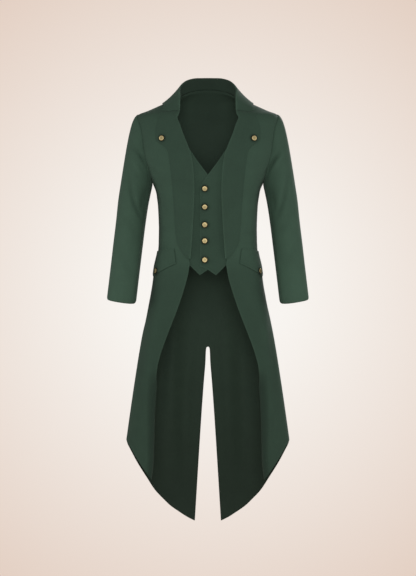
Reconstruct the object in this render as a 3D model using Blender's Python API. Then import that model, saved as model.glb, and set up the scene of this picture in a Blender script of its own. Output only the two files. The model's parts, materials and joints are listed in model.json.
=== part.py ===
"""A hollow tailcoat with its own buttoned waistcoat front, in the shape it takes when it is worn.

The torso is one surface, worked out from a short table of rings. Each panel is a patch of that surface
between its seams, thickened outwards. What lies on a panel is the same surface moved out, and what lies
under it is the same surface moved in. Sizes are in millimetres and become metres where a mesh is made.
X is the wearer's left, -Y is the front and Z is up. The origin lies on the line between the shoulders.
"""

import math
from collections import namedtuple
from functools import partial

import bpy
import numpy as np

MM = 0.001
UPWARD = np.array([0, 0, 1.0])
SHARP_ANGLE = math.radians(40)

SEAM_GAP = 0.3
CLOTH = 1.6
LINING = 1.2
FLAP_THICKNESS = 2.2
COLLAR_THICKNESS = 2.2
LINING_GAP = 0.4
LAID_ON_GAP = 0.8
UNDER_GAP = 1.3
SQUARENESS = 2.3
NORMAL_TURN = 0.6
NORMAL_RISE = 1.5

# Torso: one ring a row. Depths are measured from the side line to the front and to the back.
Ring = namedtuple("Ring", "z half_width front_depth back_depth")
RINGS = (
    Ring(22, 60, 14, 70),
    Ring(14, 70, 26, 75),
    Ring(4, 84, 38, 80),
    Ring(-17, 131, 62, 90),
    Ring(-39, 188, 81, 97),
    Ring(-49, 213, 90, 100),
    Ring(-66, 221, 98, 105),
    Ring(-100, 217, 109, 111),
    Ring(-155, 209, 120, 115),
    Ring(-200, 195, 124, 114),
    Ring(-240, 177, 124, 109),
    Ring(-262, 168, 122, 105),
    Ring(-285, 156, 119, 101),
    Ring(-330, 150, 113, 93),
    Ring(-400, 148, 106, 86),
    Ring(-456, 151, 105, 88),
    Ring(-513, 161, 109, 97),
    Ring(-573, 169, 113, 107),
    Ring(-639, 182, 114, 113),
    Ring(-729, 200, 110, 117),
    Ring(-857, 224, 101, 122),
    Ring(-1037, 248, 90, 131),
    Ring(-1150, 262, 86, 137),
    Ring(-1300, 280, 84, 145),
)

# Rows of every torso panel. The sleeve shares the armhole's rows, so its seam meets them point for point.
SHOULDER_LEVELS = (4, 0, -7, -17, -28, -39, -49)
ARMHOLE_LEVELS = (-49, -57, -72, -92, -115, -140, -168, -196, -222, -245, -262)
BODY_LEVELS = (-262, -290, -330, -380, -425, -456, -490, -525, -565, -620, -700, -780, -860)
HEM_ROWS = 5
NECK_LEVEL = SHOULDER_LEVELS[0]
SHOULDER_END = SHOULDER_LEVELS[-1]
ARMPIT = ARMHOLE_LEVELS[-1]
PANEL_COLUMNS = 8

# Front edge of the coat: neckline, roll line of the revers, then the cutaway. x is measured from the centre.
EdgePoint = namedtuple("EdgePoint", "z x")
FRONT_EDGE = (
    EdgePoint(4, 80),
    EdgePoint(-7, 86),
    EdgePoint(-17, 88.5),
    EdgePoint(-37, 89),
    EdgePoint(-58, 95),
    EdgePoint(-79, 85),
    EdgePoint(-107, 74),
    EdgePoint(-143, 59),
    EdgePoint(-174, 50),
    EdgePoint(-217, 44),
    EdgePoint(-276, 41),
    EdgePoint(-378, 45),
    EdgePoint(-464, 51),
    EdgePoint(-503, 55),
    EdgePoint(-539, 64),
    EdgePoint(-593, 80),
    EdgePoint(-664, 105),
    EdgePoint(-719, 127),
    EdgePoint(-776, 147),
    EdgePoint(-857, 168),
    EdgePoint(-962, 175),
    EdgePoint(-1102, 178),
    EdgePoint(-1160, 184),
)

# Hem: it falls from the side seams to the two tail tips. The front's own hem rises to its front corner.
HEM = (
    EdgePoint(-1291, 38),
    EdgePoint(-1282, 59),
    EdgePoint(-1244, 115),
    EdgePoint(-1196, 161),
    EdgePoint(-1156, 185),
    EdgePoint(-1103, 217),
    EdgePoint(-1055, 243),
    EdgePoint(-1037, 249),
    EdgePoint(-1030, 262),
)
FRONT_HEM_RISE = 16
HEM_GUESS = -1150
HEM_TRIES = 40
LINING_HEM_RISE = 8.0

# Half width of the gap between the tails.
VENT = (
    EdgePoint(-740, SEAM_GAP / 2),
    EdgePoint(-756, 5),
    EdgePoint(-860, 12),
    EdgePoint(-1290, 41),
)

# Armhole, as angles round the torso from the centre front, and the side seam below it.
Armhole = namedtuple("Armhole", "z front_angle back_angle")
ARMHOLE = (
    Armhole(-49, 90, 90),
    Armhole(-57, 79, 101),
    Armhole(-72, 71, 108),
    Armhole(-100, 67, 113),
    Armhole(-140, 66, 115),
    Armhole(-196, 68, 113),
    Armhole(-235, 74, 106),
    Armhole(-252, 81, 99),
    Armhole(-262, 90, 90),
)
SIDE_SEAM_ANGLE = 98
SIDE_SEAM_SETTLES = -340
BACK_NECK_LEVEL = 22

# Collar: where its neck seam, fold and outer edge lie, from the gorge seam round to the centre back.
CollarStation = namedtuple(
    "CollarStation", "neck_angle foot_lift fold_x fold_y fold_z edge_angle edge_z edge_lift"
)
COLLAR = (
    CollarStation(28, 0.8, 88.5, -76, -36.5, 48.5, -35, 4.1),
    CollarStation(31.5, 1.8, 87, -67, -23, 54, -29, 4.6),
    CollarStation(39.5, 2.4, 86.5, -54, -6, 62, -23.5, 5.6),
    CollarStation(52, 2.4, 87, -38, 9, 72, -20.5, 6.1),
    CollarStation(71, 2.4, 87.5, -18, 21, 82, -19.5, 6.6),
    CollarStation(90, 2.2, 87.5, -2, 30, 92, -19, 6.6),
    CollarStation(115, 1.5, 79, 22, 43, 114, -18, 6.6),
    CollarStation(138, 1.0, 62, 43, 55, 135, -15, 6.6),
    CollarStation(160, 0.8, 34, 59, 60.5, 158, -11, 6.6),
    CollarStation(180, 0.8, 0, 65, 60.8, 180, -9, 6.6),
)
LEAF_COLUMNS = 4
LEAF_SHARE = 0.35
LEAF_SETTLE = 0.3
LEAF_ROUNDNESS = 0.6
FOLD_RADIUS = 3.0
STAND_GAP = 1.0
FOLD_TURNS = (-90, -30, 30, 90)
GORGE_LEVEL = -36.5
COLLAR_FRONT_LEVELS = (-28, -17, -7, 0, 4)

# Revers: its outer edge, from the gorge seam past the buttoned corner to where it runs out at the waist.
LAPEL_EDGE = (
    EdgePoint(-37, 138),
    EdgePoint(-60, 150),
    EdgePoint(-88, 158),
    EdgePoint(-119, 159),
    EdgePoint(-128, 157),
    EdgePoint(-134, 149),
    EdgePoint(-156, 124),
    EdgePoint(-186, 117),
    EdgePoint(-308, 104),
    EdgePoint(-430, 95),
    EdgePoint(-470, 78),
    EdgePoint(-488, 62),
)
LAPEL_LEVELS = (
    -37, -49, -57, -65, -72, -82, -92, -115, -128, -134, -140, -147, -156, -168, -196, -222, -245, -262,
    -290, -330, -380, -425, -456, -472, -488,
)
LAPEL_FOOT = LAPEL_LEVELS[-1]
ROLL_START = -20
ROLL_WIDTH = 4.0
ROLL_RADIUS = 3.0
ROLL_SETTLES = 28.0
NARROW_ROLL = 0.35
NARROW_REACH = 30

# Waistcoat front: neckline and overlapping edge, hidden side edge, and the lower edge with its point.
WAISTCOAT_EDGE = (
    EdgePoint(-95, 98),
    EdgePoint(-155, 56),
    EdgePoint(-193, 30),
    EdgePoint(-232, 0),
    EdgePoint(-255, -16),
    EdgePoint(-272, -24),
    EdgePoint(-540, -24),
)
WAISTCOAT_SIDE = (
    EdgePoint(-95, 122),
    EdgePoint(-155, 106),
    EdgePoint(-260, 96),
    EdgePoint(-400, 97),
    EdgePoint(-540, 106),
)
LowerPoint = namedtuple("LowerPoint", "x z")
WAISTCOAT_LOWER = (
    LowerPoint(-24, -512),
    LowerPoint(-3, -522),
    LowerPoint(25, -536),
    LowerPoint(55, -509),
    LowerPoint(110, -492),
)
WAISTCOAT_LEVELS = (-95, -125, -155, -193, -232, -255, -272, -310, -360, -410, -460)
WAISTCOAT_COLUMNS = (0, 0.16, 0.28, 0.387, 0.5, 0.62, 0.8, 1)
WAISTCOAT_FOOT_ROWS = 3
WAISTCOAT_UNDERLAP = 1.9
UNDERLAP_FULL_X = 35
UNDERLAP_END_X = 60

# Hip flap: its top and lower edge by angle round the torso.
FlapColumn = namedtuple("FlapColumn", "top_angle top_z lower_angle lower_z")
FLAP = (
    FlapColumn(40, -456, 34, -503),
    FlapColumn(58, -459, 56, -524),
    FlapColumn(78, -463, 79, -543),
    FlapColumn(97, -466, 98, -524),
    FlapColumn(114, -468, 115, -505),
)
FLAP_ROWS = 4
FLAP_COLUMNS = 10
FLAP_LIFT = CLOTH + LAID_ON_GAP

# Sleeve below the armhole: outer and inner point of each ring in the front view, its half depth and centre.
SleeveRing = namedtuple("SleeveRing", "along outer_x outer_z inner_x inner_z half_depth centre_y")
SLEEVE = (
    SleeveRing(0.00, 264, -256, 173, -268, 62, 4),
    SleeveRing(0.16, 271, -310, 187, -320, 58, 0),
    SleeveRing(0.33, 277, -368, 195, -378, 55, -6),
    SleeveRing(0.52, 285, -435, 203, -445, 52, -13),
    SleeveRing(0.77, 295, -520, 213, -530, 48, -27),
    SleeveRing(1.00, 305, -608, 223, -623, 46, -42),
)
SLEEVE_LENGTH = 355.0
SLEEVE_GIRTH = 300.0
SLEEVE_STEPS = 10
CAP_STEPS = (0, 0.12, 0.28, 0.48, 0.73, 1)
CAP_REACH = 20
ARMPIT_REACH = 4
CAP_WAY = np.array([1, 0, -0.1])
CAP_FALL = 0.62
CAP_SHARE = 0.5
TOP_SLEEVE_FRONT_COLUMN = 7
TOP_SLEEVE_BACK_COLUMN = -6

# Soft troughs across the sleeve: place along it and round it, half lengths, slant and depth.
SleeveFold = namedtuple("SleeveFold", "along turn half_length half_width slant depth")
SLEEVE_FOLDS = (
    SleeveFold(-0.10, 120, 75, 26, 0.9, 5.0),
    SleeveFold(0.20, 150, 70, 24, 0.8, 4.5),
    SleeveFold(0.55, 235, 60, 22, -0.5, 3.5),
    SleeveFold(0.50, 60, 60, 30, 0.6, 3.0),
)
FOLD_FADE_IN = (0, 0.3, 0.7)
FOLD_AT_CUFF = 0.4

# Turned button: a flat back, a raised rim and a low dome, which peaks at its centre.
ProfilePoint = namedtuple("ProfilePoint", "radius height")
BUTTON_PROFILE = (
    ProfilePoint(7.4, 0.0),
    ProfilePoint(8.8, 1.0),
    ProfilePoint(9.0, 2.0),
    ProfilePoint(8.2, 2.9),
    ProfilePoint(7.0, 2.5),
    ProfilePoint(4.0, 3.3),
)
BUTTON_PEAK = 3.7
BUTTON_SIDES = 14
WAISTCOAT_BUTTON_X = -9.5
WAISTCOAT_BUTTON_LEVELS = (-274, -330, -384, -433, -491)
LAPEL_BUTTON_X = 141
LAPEL_BUTTON_LEVEL = -119
FLAP_BUTTON_ANGLE = 71.5
FLAP_BUTTON_LEVEL = -525

CLOTH_COLOUR = (0.031, 0.056, 0.040, 1)
LINING_COLOUR = (0.012, 0.020, 0.013, 1)
BRASS_COLOUR = (0.58, 0.42, 0.15, 1)


def clear_scene():
    for obj in list(bpy.data.objects):
        bpy.data.objects.remove(obj, do_unlink=True)


def smooth_curve(stations, values):
    """A curve through the values that never swings past them, as a function of the station."""
    order = np.argsort(stations)
    x = np.asarray(stations, float)[order]
    y = np.asarray(values, float)[order]
    step = np.diff(x)
    slope = np.diff(y) / step
    tangent = np.empty(len(x))
    tangent[0], tangent[-1] = slope[0], slope[-1]
    same_way = slope[:-1] * slope[1:] > 0
    weight_a = 2 * step[1:] + step[:-1]
    weight_b = step[1:] + 2 * step[:-1]
    safe_a = np.where(same_way, slope[:-1], 1)
    safe_b = np.where(same_way, slope[1:], 1)
    mean = (weight_a + weight_b) / (weight_a / safe_a + weight_b / safe_b)
    tangent[1:-1] = np.where(same_way, mean, 0)

    def at(station):
        q = np.clip(np.asarray(station, float), x[0], x[-1])
        i = np.clip(np.searchsorted(x, q) - 1, 0, len(step) - 1)
        t = (q - x[i]) / step[i]
        rise = y[i] * (1 + 2 * t) * (1 - t) ** 2 + y[i + 1] * t * t * (3 - 2 * t)
        bend = tangent[i] * t * (1 - t) ** 2 - tangent[i + 1] * t * t * (1 - t)
        return rise + step[i] * bend

    return at


def column(rows, name, by="z"):
    """One column of a table as a smooth function of another."""
    return smooth_curve([getattr(row, by) for row in rows], [getattr(row, name) for row in rows])


def straight(rows, name, by):
    """The same with straight runs, for an outline with corners."""
    pairs = sorted((getattr(row, by), getattr(row, name)) for row in rows)
    stations, values = zip(*pairs)
    return lambda station: np.interp(station, stations, values)


HALF_WIDTH = column(RINGS, "half_width")
FRONT_DEPTH = column(RINGS, "front_depth")
BACK_DEPTH = column(RINGS, "back_depth")


def torso(angle, z):
    """The inner face of the coat's cloth at an angle in degrees from the centre front, and a height."""
    angle = np.radians(np.asarray(angle, float))
    z = np.asarray(z, float)
    side, ahead = np.sin(angle), np.cos(angle)
    power = 2 / SQUARENESS
    depth = np.where(ahead > 0, FRONT_DEPTH(z), BACK_DEPTH(z))
    x = HALF_WIDTH(z) * np.sign(side) * np.abs(side) ** power
    y = -depth * np.sign(ahead) * np.abs(ahead) ** power
    return np.stack(np.broadcast_arrays(x, y, z), axis=-1)


def unit(vectors):
    return vectors / np.linalg.norm(vectors, axis=-1, keepdims=True)


def torso_normal(angle, z):
    round_torso = torso(angle + NORMAL_TURN, z) - torso(angle - NORMAL_TURN, z)
    up_torso = torso(angle, z + NORMAL_RISE) - torso(angle, z - NORMAL_RISE)
    return unit(np.cross(round_torso, up_torso))


def angle_at(x, z, behind=False):
    """The angle at which the torso is x from its centre plane, on its front or behind."""
    part = np.clip(np.abs(x) / HALF_WIDTH(z), 0, 1) ** (SQUARENESS / 2)
    angle = np.degrees(np.arcsin(part))
    return np.sign(x) * (180 - angle) if behind else np.sign(x) * angle


def seam_trimmed(points, sides, amount=SEAM_GAP / 2):
    """Draws the named sides of a grid of points back from their seams."""
    points = points.copy()
    first_second = {
        "left": (np.s_[:, 0], np.s_[:, 1]),
        "right": (np.s_[:, -1], np.s_[:, -2]),
        "top": (np.s_[0], np.s_[1]),
        "bottom": (np.s_[-1], np.s_[-2]),
    }
    for side in sides:
        edge, inside = first_second[side]
        points[edge] += unit(points[inside] - points[edge]) * amount
    return points


def mirrored(points):
    """The same grid on the other side of the coat, with its columns turned so that it still faces out."""
    return points[:, ::-1] * np.array([-1, 1, 1])


def material(name, colour, roughness, metallic=0.0):
    found = bpy.data.materials.get(name)
    if found:
        return found
    made = bpy.data.materials.new(name)
    made.use_nodes = True
    shader = made.node_tree.nodes["Principled BSDF"]
    shader.inputs["Base Color"].default_value = colour
    shader.inputs["Roughness"].default_value = roughness
    shader.inputs["Metallic"].default_value = metallic
    made.diffuse_color = colour
    return made


def cloth_material():
    return material("green cloth", CLOTH_COLOUR, 0.9)


def lining_material():
    return material("dark lining", LINING_COLOUR, 0.6)


def brass_material():
    return material("brass", BRASS_COLOUR, 0.3, 1.0)


def add_object(name, points, faces, look):
    mesh = bpy.data.meshes.new(name)
    mesh.from_pydata([tuple(p) for p in np.asarray(points) * MM], [], faces)
    mesh.validate()
    mesh.shade_smooth()
    mesh.set_sharp_from_angle(angle=SHARP_ANGLE)
    mesh.materials.append(look)
    obj = bpy.data.objects.new(name, mesh)
    bpy.context.scene.collection.objects.link(obj)
    return obj


def add_wall(name, inner, outer, look):
    """A closed wall between two grids of points. The outer one faces out, with columns to its right."""
    rows, columns = inner.shape[:2]
    inside = np.arange(rows * columns).reshape(rows, columns)
    outside = inside + rows * columns
    faces = []
    for i in range(rows - 1):
        for j in range(columns - 1):
            first, down, across, right = (i, j), (i + 1, j), (i + 1, j + 1), (i, j + 1)
            faces.append([int(outside[c]) for c in (first, down, across, right)])
            faces.append([int(inside[c]) for c in (first, right, across, down)])
    rim = [(0, j) for j in range(columns)]
    rim += [(i, columns - 1) for i in range(1, rows)]
    rim += [(rows - 1, j) for j in range(columns - 2, -1, -1)]
    rim += [(i, 0) for i in range(rows - 2, 0, -1)]
    for here, there in zip(rim, rim[1:] + rim[:1]):
        faces.append([int(inside[here]), int(outside[here]), int(outside[there]), int(inside[there])])
    points = np.concatenate([inner.reshape(-1, 3), outer.reshape(-1, 3)])
    return add_object(name, points, faces, look)


def layer(angle, z, low, high, sides=()):
    """The two faces of a wall that lies between two distances out from the torso surface."""
    base = seam_trimmed(torso(angle, z), sides)
    normal = torso_normal(angle, z)
    return base + normal * low, base + normal * high


def hem_height(angle_of, rise):
    """How far down a column of a panel runs before it meets the hem, raised by so much."""
    z = HEM_GUESS
    for _ in range(HEM_TRIES):
        x = abs(float(torso(angle_of(z), z)[0]))
        z = (z + float(HEM_Z(x)) + rise) / 2
    return z


def panel_grid(near_edge, far_edge, top, hem_rise):
    """Angles and heights of a torso panel: shared rows between a top edge and a hem of its own.

    The top and the rise of the hem are functions of how far across the panel a column is.
    """
    middle = np.array(ARMHOLE_LEVELS[1:] + BODY_LEVELS[1:], float)
    shoulder = (np.array(SHOULDER_LEVELS, float) - NECK_LEVEL) / (SHOULDER_END - NECK_LEVEL)
    below = np.linspace(0, 1, HEM_ROWS + 1)[1:]

    def angle_of(z, fraction):
        return near_edge(z) + (far_edge(z) - near_edge(z)) * fraction

    angles, heights = [], []
    for fraction in np.linspace(0, 1, PANEL_COLUMNS + 1):
        start = top(fraction)
        end = hem_height(partial(angle_of, fraction=fraction), hem_rise(fraction))
        z = np.concatenate([
            start + shoulder * (SHOULDER_END - start),
            middle,
            middle[-1] + below * (end - middle[-1]),
        ])
        heights.append(z)
        angles.append(angle_of(z, fraction))
    return np.stack(angles, axis=1), np.stack(heights, axis=1)


FRONT_EDGE_X = column(FRONT_EDGE, "x")
LAPEL_EDGE_X = column(LAPEL_EDGE, "x")
HEM_Z = straight(HEM, "z", by="x")
VENT_X = column(VENT, "x")
ARMHOLE_FRONT = column(ARMHOLE, "front_angle")
ARMHOLE_BACK = column(ARMHOLE, "back_angle")


def step_between(z, start, end):
    """0 above the start, 1 below the end, and smooth between."""
    t = np.clip((start - np.asarray(z, float)) / (start - end), 0, 1)
    return t * t * (3 - 2 * t)


def front_edge_angle(z):
    """The front panel's own edge. Where the revers rolls over it, it stops short by the roll's width."""
    rolled = step_between(z, ROLL_START, LAPEL_LEVELS[0]) - step_between(z, LAPEL_FOOT - 3, LAPEL_FOOT - 14)
    return angle_at(FRONT_EDGE_X(z) + ROLL_WIDTH * rolled, z)


def side_seam_angle(z):
    return 90 + (SIDE_SEAM_ANGLE - 90) * step_between(z, ARMPIT, SIDE_SEAM_SETTLES)


def front_side_angle(z):
    return np.where(np.asarray(z) > ARMPIT, ARMHOLE_FRONT(z), side_seam_angle(z))


def back_side_angle(z):
    return np.where(np.asarray(z) > ARMPIT, ARMHOLE_BACK(z), side_seam_angle(z))


def vent_angle(z):
    return angle_at(np.where(np.asarray(z) > VENT[0].z, 0, VENT_X(z)) + 1e-6, z, behind=True)


def back_neck_level(fraction):
    """The back neckline rises from the shoulder seam to the centre back."""
    return NECK_LEVEL + (BACK_NECK_LEVEL - NECK_LEVEL) * math.sin(math.radians(90 * fraction))


def neck_height(angle):
    """Height of the neckline at an angle: round the back neck, over the shoulder and down the front edge."""
    if angle >= 90:
        return back_neck_level((angle - 90) / 90)
    z = np.linspace(LAPEL_LEVELS[0] - 10, NECK_LEVEL, 60)
    return float(np.interp(angle, front_edge_angle(z), z))


def front_neck_level(fraction):
    return NECK_LEVEL


def front_hem_rise(fraction):
    return FRONT_HEM_RISE * (1 - fraction)


def back_hem_rise(fraction):
    return 0.0


def front_grid():
    return panel_grid(front_edge_angle, front_side_angle, front_neck_level, front_hem_rise)


def back_grid():
    return panel_grid(back_side_angle, vent_angle, back_neck_level, back_hem_rise)


def add_pair(name, inner, outer, look):
    """The left piece from its two faces, and the right one as its mirror image."""
    add_wall(name + "_left", inner, outer, look)
    add_wall(name + "_right", mirrored(inner), mirrored(outer), look)


def add_fronts():
    angle, z = front_grid()
    inner, outer = layer(angle, z, 0, CLOTH, ("right",))
    add_pair("front", inner, outer, cloth_material())


def add_backs():
    angle, z = back_grid()
    inner, outer = layer(angle, z, 0, CLOTH, ("left", "right"))
    add_pair("back", inner, outer, cloth_material())


def add_back_linings():
    angle, z = back_grid()
    inner, outer = layer(angle, z, -LINING_GAP - LINING, -LINING_GAP, ("left", "right"))
    inner, outer = (seam_trimmed(face, ("bottom",), LINING_HEM_RISE) for face in (inner, outer))
    add_pair("back_lining", inner, outer, lining_material())


def fold_section(neck, fold, edge, edge_normal):
    """Middle line of the collar at one station: up the stand, over the fold and down the leaf."""
    leaf_way = neck + (edge - neck) * LEAF_SHARE
    up = unit(fold - leaf_way)
    across = edge - neck
    out = unit(across - up * np.dot(across, up))
    crown = fold - up * FOLD_RADIUS
    section = [neck, (neck + crown - out * FOLD_RADIUS) / 2]
    for turn in FOLD_TURNS:
        around = math.radians(turn)
        section.append(crown + (out * math.sin(around) + up * math.cos(around)) * FOLD_RADIUS)
    start = section[-1]
    reach = np.linalg.norm(edge - start)
    flat = np.cross(edge_normal, np.cross(start - edge, edge_normal))
    settle = edge + unit(flat) * reach * LEAF_SETTLE
    for t in np.linspace(0, 1, LEAF_COLUMNS + 1)[1:]:
        bend = start * (1 - t) ** 2 + 2 * settle * t * (1 - t) + edge * t * t
        chord = start + (edge - start) * t
        section.append(chord + (bend - chord) * LEAF_ROUNDNESS)
    return np.array(section)


def collar_angles():
    """Neck angles of the collar's stations: the same ones as the panels' points along the neckline."""
    down_front = [float(front_edge_angle(z)) for z in COLLAR_FRONT_LEVELS]
    round_back = [90 + 90 * k / PANEL_COLUMNS for k in range(PANEL_COLUMNS + 1)]
    return down_front + [(down_front[-1] + 90) / 2] + round_back


def collar_sections():
    """Sections from the left gorge seam, where it matches the revers, to the centre back."""
    curves = {name: column(COLLAR, name, by="neck_angle") for name in CollarStation._fields[1:]}
    sections = [lapel_row(GORGE_LEVEL)]
    for angle in collar_angles():
        at = {name: float(curve(angle)) for name, curve in curves.items()}
        neck_z = neck_height(angle)
        neck_out = torso_normal(angle, neck_z)
        neck = torso(angle, neck_z) + neck_out * at["foot_lift"]
        fold = np.array([at["fold_x"], at["fold_y"], at["fold_z"]])
        off_edge = fold - neck
        off_edge -= neck_out * np.dot(off_edge, neck_out)
        neck += unit(off_edge) * (COLLAR_THICKNESS / 2 + STAND_GAP)
        edge_out = torso_normal(at["edge_angle"], at["edge_z"])
        edge = torso(at["edge_angle"], at["edge_z"]) + edge_out * at["edge_lift"]
        sections.append(fold_section(neck, fold, edge, edge_out))
    return np.array(sections)


def grid_normals(points, wrap=False):
    """Outward normals of a grid whose columns run to the right and rows run down."""
    if wrap:
        across = np.roll(points, -1, axis=1) - np.roll(points, 1, axis=1)
    else:
        across = np.gradient(points, axis=1)
    down = np.gradient(points, axis=0)
    return unit(np.cross(down, across))


def add_collar():
    """Rows run across the collar, from neck seam to leaf edge, and columns run round the neck."""
    left = collar_sections()
    right = left[:-1] * np.array([-1, 1, 1])
    whole = np.concatenate([left, right[::-1]])
    middle = whole.transpose(1, 0, 2)
    normals = grid_normals(middle)
    half = COLLAR_THICKNESS / 2
    add_wall("collar", middle - normals * half, middle + normals * half, cloth_material())


def rolled_edge_x(z):
    """The roll line between the front panel's own points, so that the revers follows its edge."""
    levels = np.array(sorted(SHOULDER_LEVELS + ARMHOLE_LEVELS[1:] + BODY_LEVELS[1:]), float)
    return np.interp(z, levels, FRONT_EDGE_X(levels))


def lapel_row(z):
    """Middle line of the revers at a height: off the front's edge, round the roll and out over the chest."""
    roll_x = float(rolled_edge_x(z))
    reach = float(LAPEL_EDGE_X(z)) - roll_x
    radius = ROLL_RADIUS * min(1, max(NARROW_ROLL, reach / NARROW_REACH))
    flat = CLOTH + LAID_ON_GAP + CLOTH / 2
    low, high = CLOTH / 2, CLOTH / 2 + 2 * radius
    root = roll_x + ROLL_WIDTH - 2 * SEAM_GAP
    places = [(root, low), ((root + roll_x + radius) / 2, low)]
    for turn in FOLD_TURNS:
        around = math.radians(turn)
        places.append((roll_x + radius - radius * math.cos(around), low + radius + radius * math.sin(around)))
    start = roll_x + radius
    for t in np.linspace(0, 1, LEAF_COLUMNS + 1)[1:]:
        across = (roll_x + reach - start) * t
        settled = float(step_between(-across, 0, -ROLL_SETTLES))
        places.append((start + across, high + (flat - high) * settled))
    x, lift = np.array(places).T
    angle = angle_at(x, z)
    return torso(angle, z) + torso_normal(angle, z) * lift[:, None]


def lapel_grid():
    return np.array([lapel_row(z) for z in LAPEL_LEVELS])


def add_lapels():
    middle = lapel_grid()
    normals = grid_normals(middle)
    half = CLOTH / 2
    inner, outer = middle - normals * half, middle + normals * half
    add_pair("lapel", inner, outer, cloth_material())


def waistcoat_grid():
    edge_x = column(WAISTCOAT_EDGE, "x")
    side_x = column(WAISTCOAT_SIDE, "x")
    lower_z = straight(WAISTCOAT_LOWER, "z", by="x")
    levels = np.array(WAISTCOAT_LEVELS, float)
    below = np.linspace(0, 1, WAISTCOAT_FOOT_ROWS + 1)[1:]
    places, heights = [], []
    for fraction in WAISTCOAT_COLUMNS:
        foot_x = WAISTCOAT_LOWER[0].x + (WAISTCOAT_SIDE[-1].x - WAISTCOAT_LOWER[0].x) * fraction
        end = float(lower_z(foot_x))
        z = np.concatenate([levels, levels[-1] + below * (end - levels[-1])])
        heights.append(z)
        places.append(edge_x(z) + (side_x(z) - edge_x(z)) * fraction)
    return np.stack(places, axis=1), np.stack(heights, axis=1)


def add_waistcoat():
    """The left front laps over the right one, which lies deeper near the centre."""
    x, z = waistcoat_grid()
    angle = angle_at(x, z)
    high = -UNDER_GAP
    inner, outer = layer(angle, z, high - CLOTH, high)
    add_wall("waistcoat_left", inner, outer, cloth_material())
    base, normal = torso(angle, z), torso_normal(angle, z)
    past_lap = np.clip((x - UNDERLAP_FULL_X) / (UNDERLAP_END_X - UNDERLAP_FULL_X), 0, 1)
    sunk = WAISTCOAT_UNDERLAP * (1 - past_lap)[..., None]
    inner = base + normal * (high - CLOTH - sunk)
    outer = base + normal * (high - sunk)
    add_wall("waistcoat_right", mirrored(inner), mirrored(outer), cloth_material())


def flap_grid():
    stations = np.linspace(0, 1, len(FLAP))
    t = np.linspace(0, 1, FLAP_COLUMNS + 1)
    v = np.linspace(0, 1, FLAP_ROWS + 1)[:, None]
    sides = {
        name: np.interp(t, stations, [getattr(row, name) for row in FLAP])
        for name in FlapColumn._fields
    }
    angle = sides["top_angle"] * (1 - v) + sides["lower_angle"] * v
    z = sides["top_z"] * (1 - v) + sides["lower_z"] * v
    return angle, z


def add_hip_flaps():
    angle, z = flap_grid()
    inner, outer = layer(angle, z, FLAP_LIFT, FLAP_LIFT + FLAP_THICKNESS)
    add_pair("hip_flap", inner, outer, cloth_material())


def armhole_loop():
    """The armhole's own points, from the shoulder down the front to the armpit and up the back."""
    z = np.array(ARMHOLE_LEVELS, float)
    front = torso(ARMHOLE_FRONT(z), z)
    front_out = torso_normal(ARMHOLE_FRONT(z), z)
    back = torso(ARMHOLE_BACK(z), z)
    back_out = torso_normal(ARMHOLE_BACK(z), z)
    lift = CLOTH + SEAM_GAP
    front, back = front + front_out * lift, back + back_out * lift
    return np.concatenate([front, back[::-1][1:-1]])


def sleeve_turns(loop):
    """How far round the sleeve each point of the armhole goes: 0 outside, 90 in front, 180 at the armpit."""
    half = len(ARMHOLE_LEVELS)
    closed = np.concatenate([loop, loop[:1]])
    length = np.concatenate([[0], np.cumsum(np.linalg.norm(np.diff(closed, axis=0), axis=1))])
    down = length[:half] / length[half - 1] * 180
    up = 180 + (length[half:-1] - length[half - 1]) / (length[-1] - length[half - 1]) * 180
    return np.concatenate([down, up])


def sleeve_ring(along, turns):
    """One ring of the sleeve, as far along it as told, with a point at each turn."""
    curves = {
        name: smooth_curve([row.along for row in SLEEVE], [getattr(row, name) for row in SLEEVE])(along)
        for name in SleeveRing._fields[1:]
    }
    outer = np.array([curves["outer_x"], 0, curves["outer_z"]])
    inner = np.array([curves["inner_x"], 0, curves["inner_z"]])
    centre = (outer + inner) / 2 + np.array([0, curves["centre_y"], 0])
    turn = np.radians(turns)[:, None]
    forward = np.array([0, -curves["half_depth"], 0])
    return centre + (outer - inner) / 2 * np.cos(turn) + forward * np.sin(turn)


def sleeve_fold_depth(along, turn):
    """How deep the soft troughs of the sleeve are at a place along and round it."""
    depth = 0.0
    for fold in SLEEVE_FOLDS:
        down = (along - fold.along) * SLEEVE_LENGTH
        round_it = ((turn - fold.turn + 180) % 360 - 180) / 360 * SLEEVE_GIRTH
        lengthwise = (round_it + down * fold.slant) / math.hypot(1, fold.slant)
        crosswise = (down - round_it * fold.slant) / math.hypot(1, fold.slant)
        depth = depth + fold.depth * np.exp(
            -((lengthwise / fold.half_length) ** 2) - (crosswise / fold.half_width) ** 2
        )
    return depth


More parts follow.
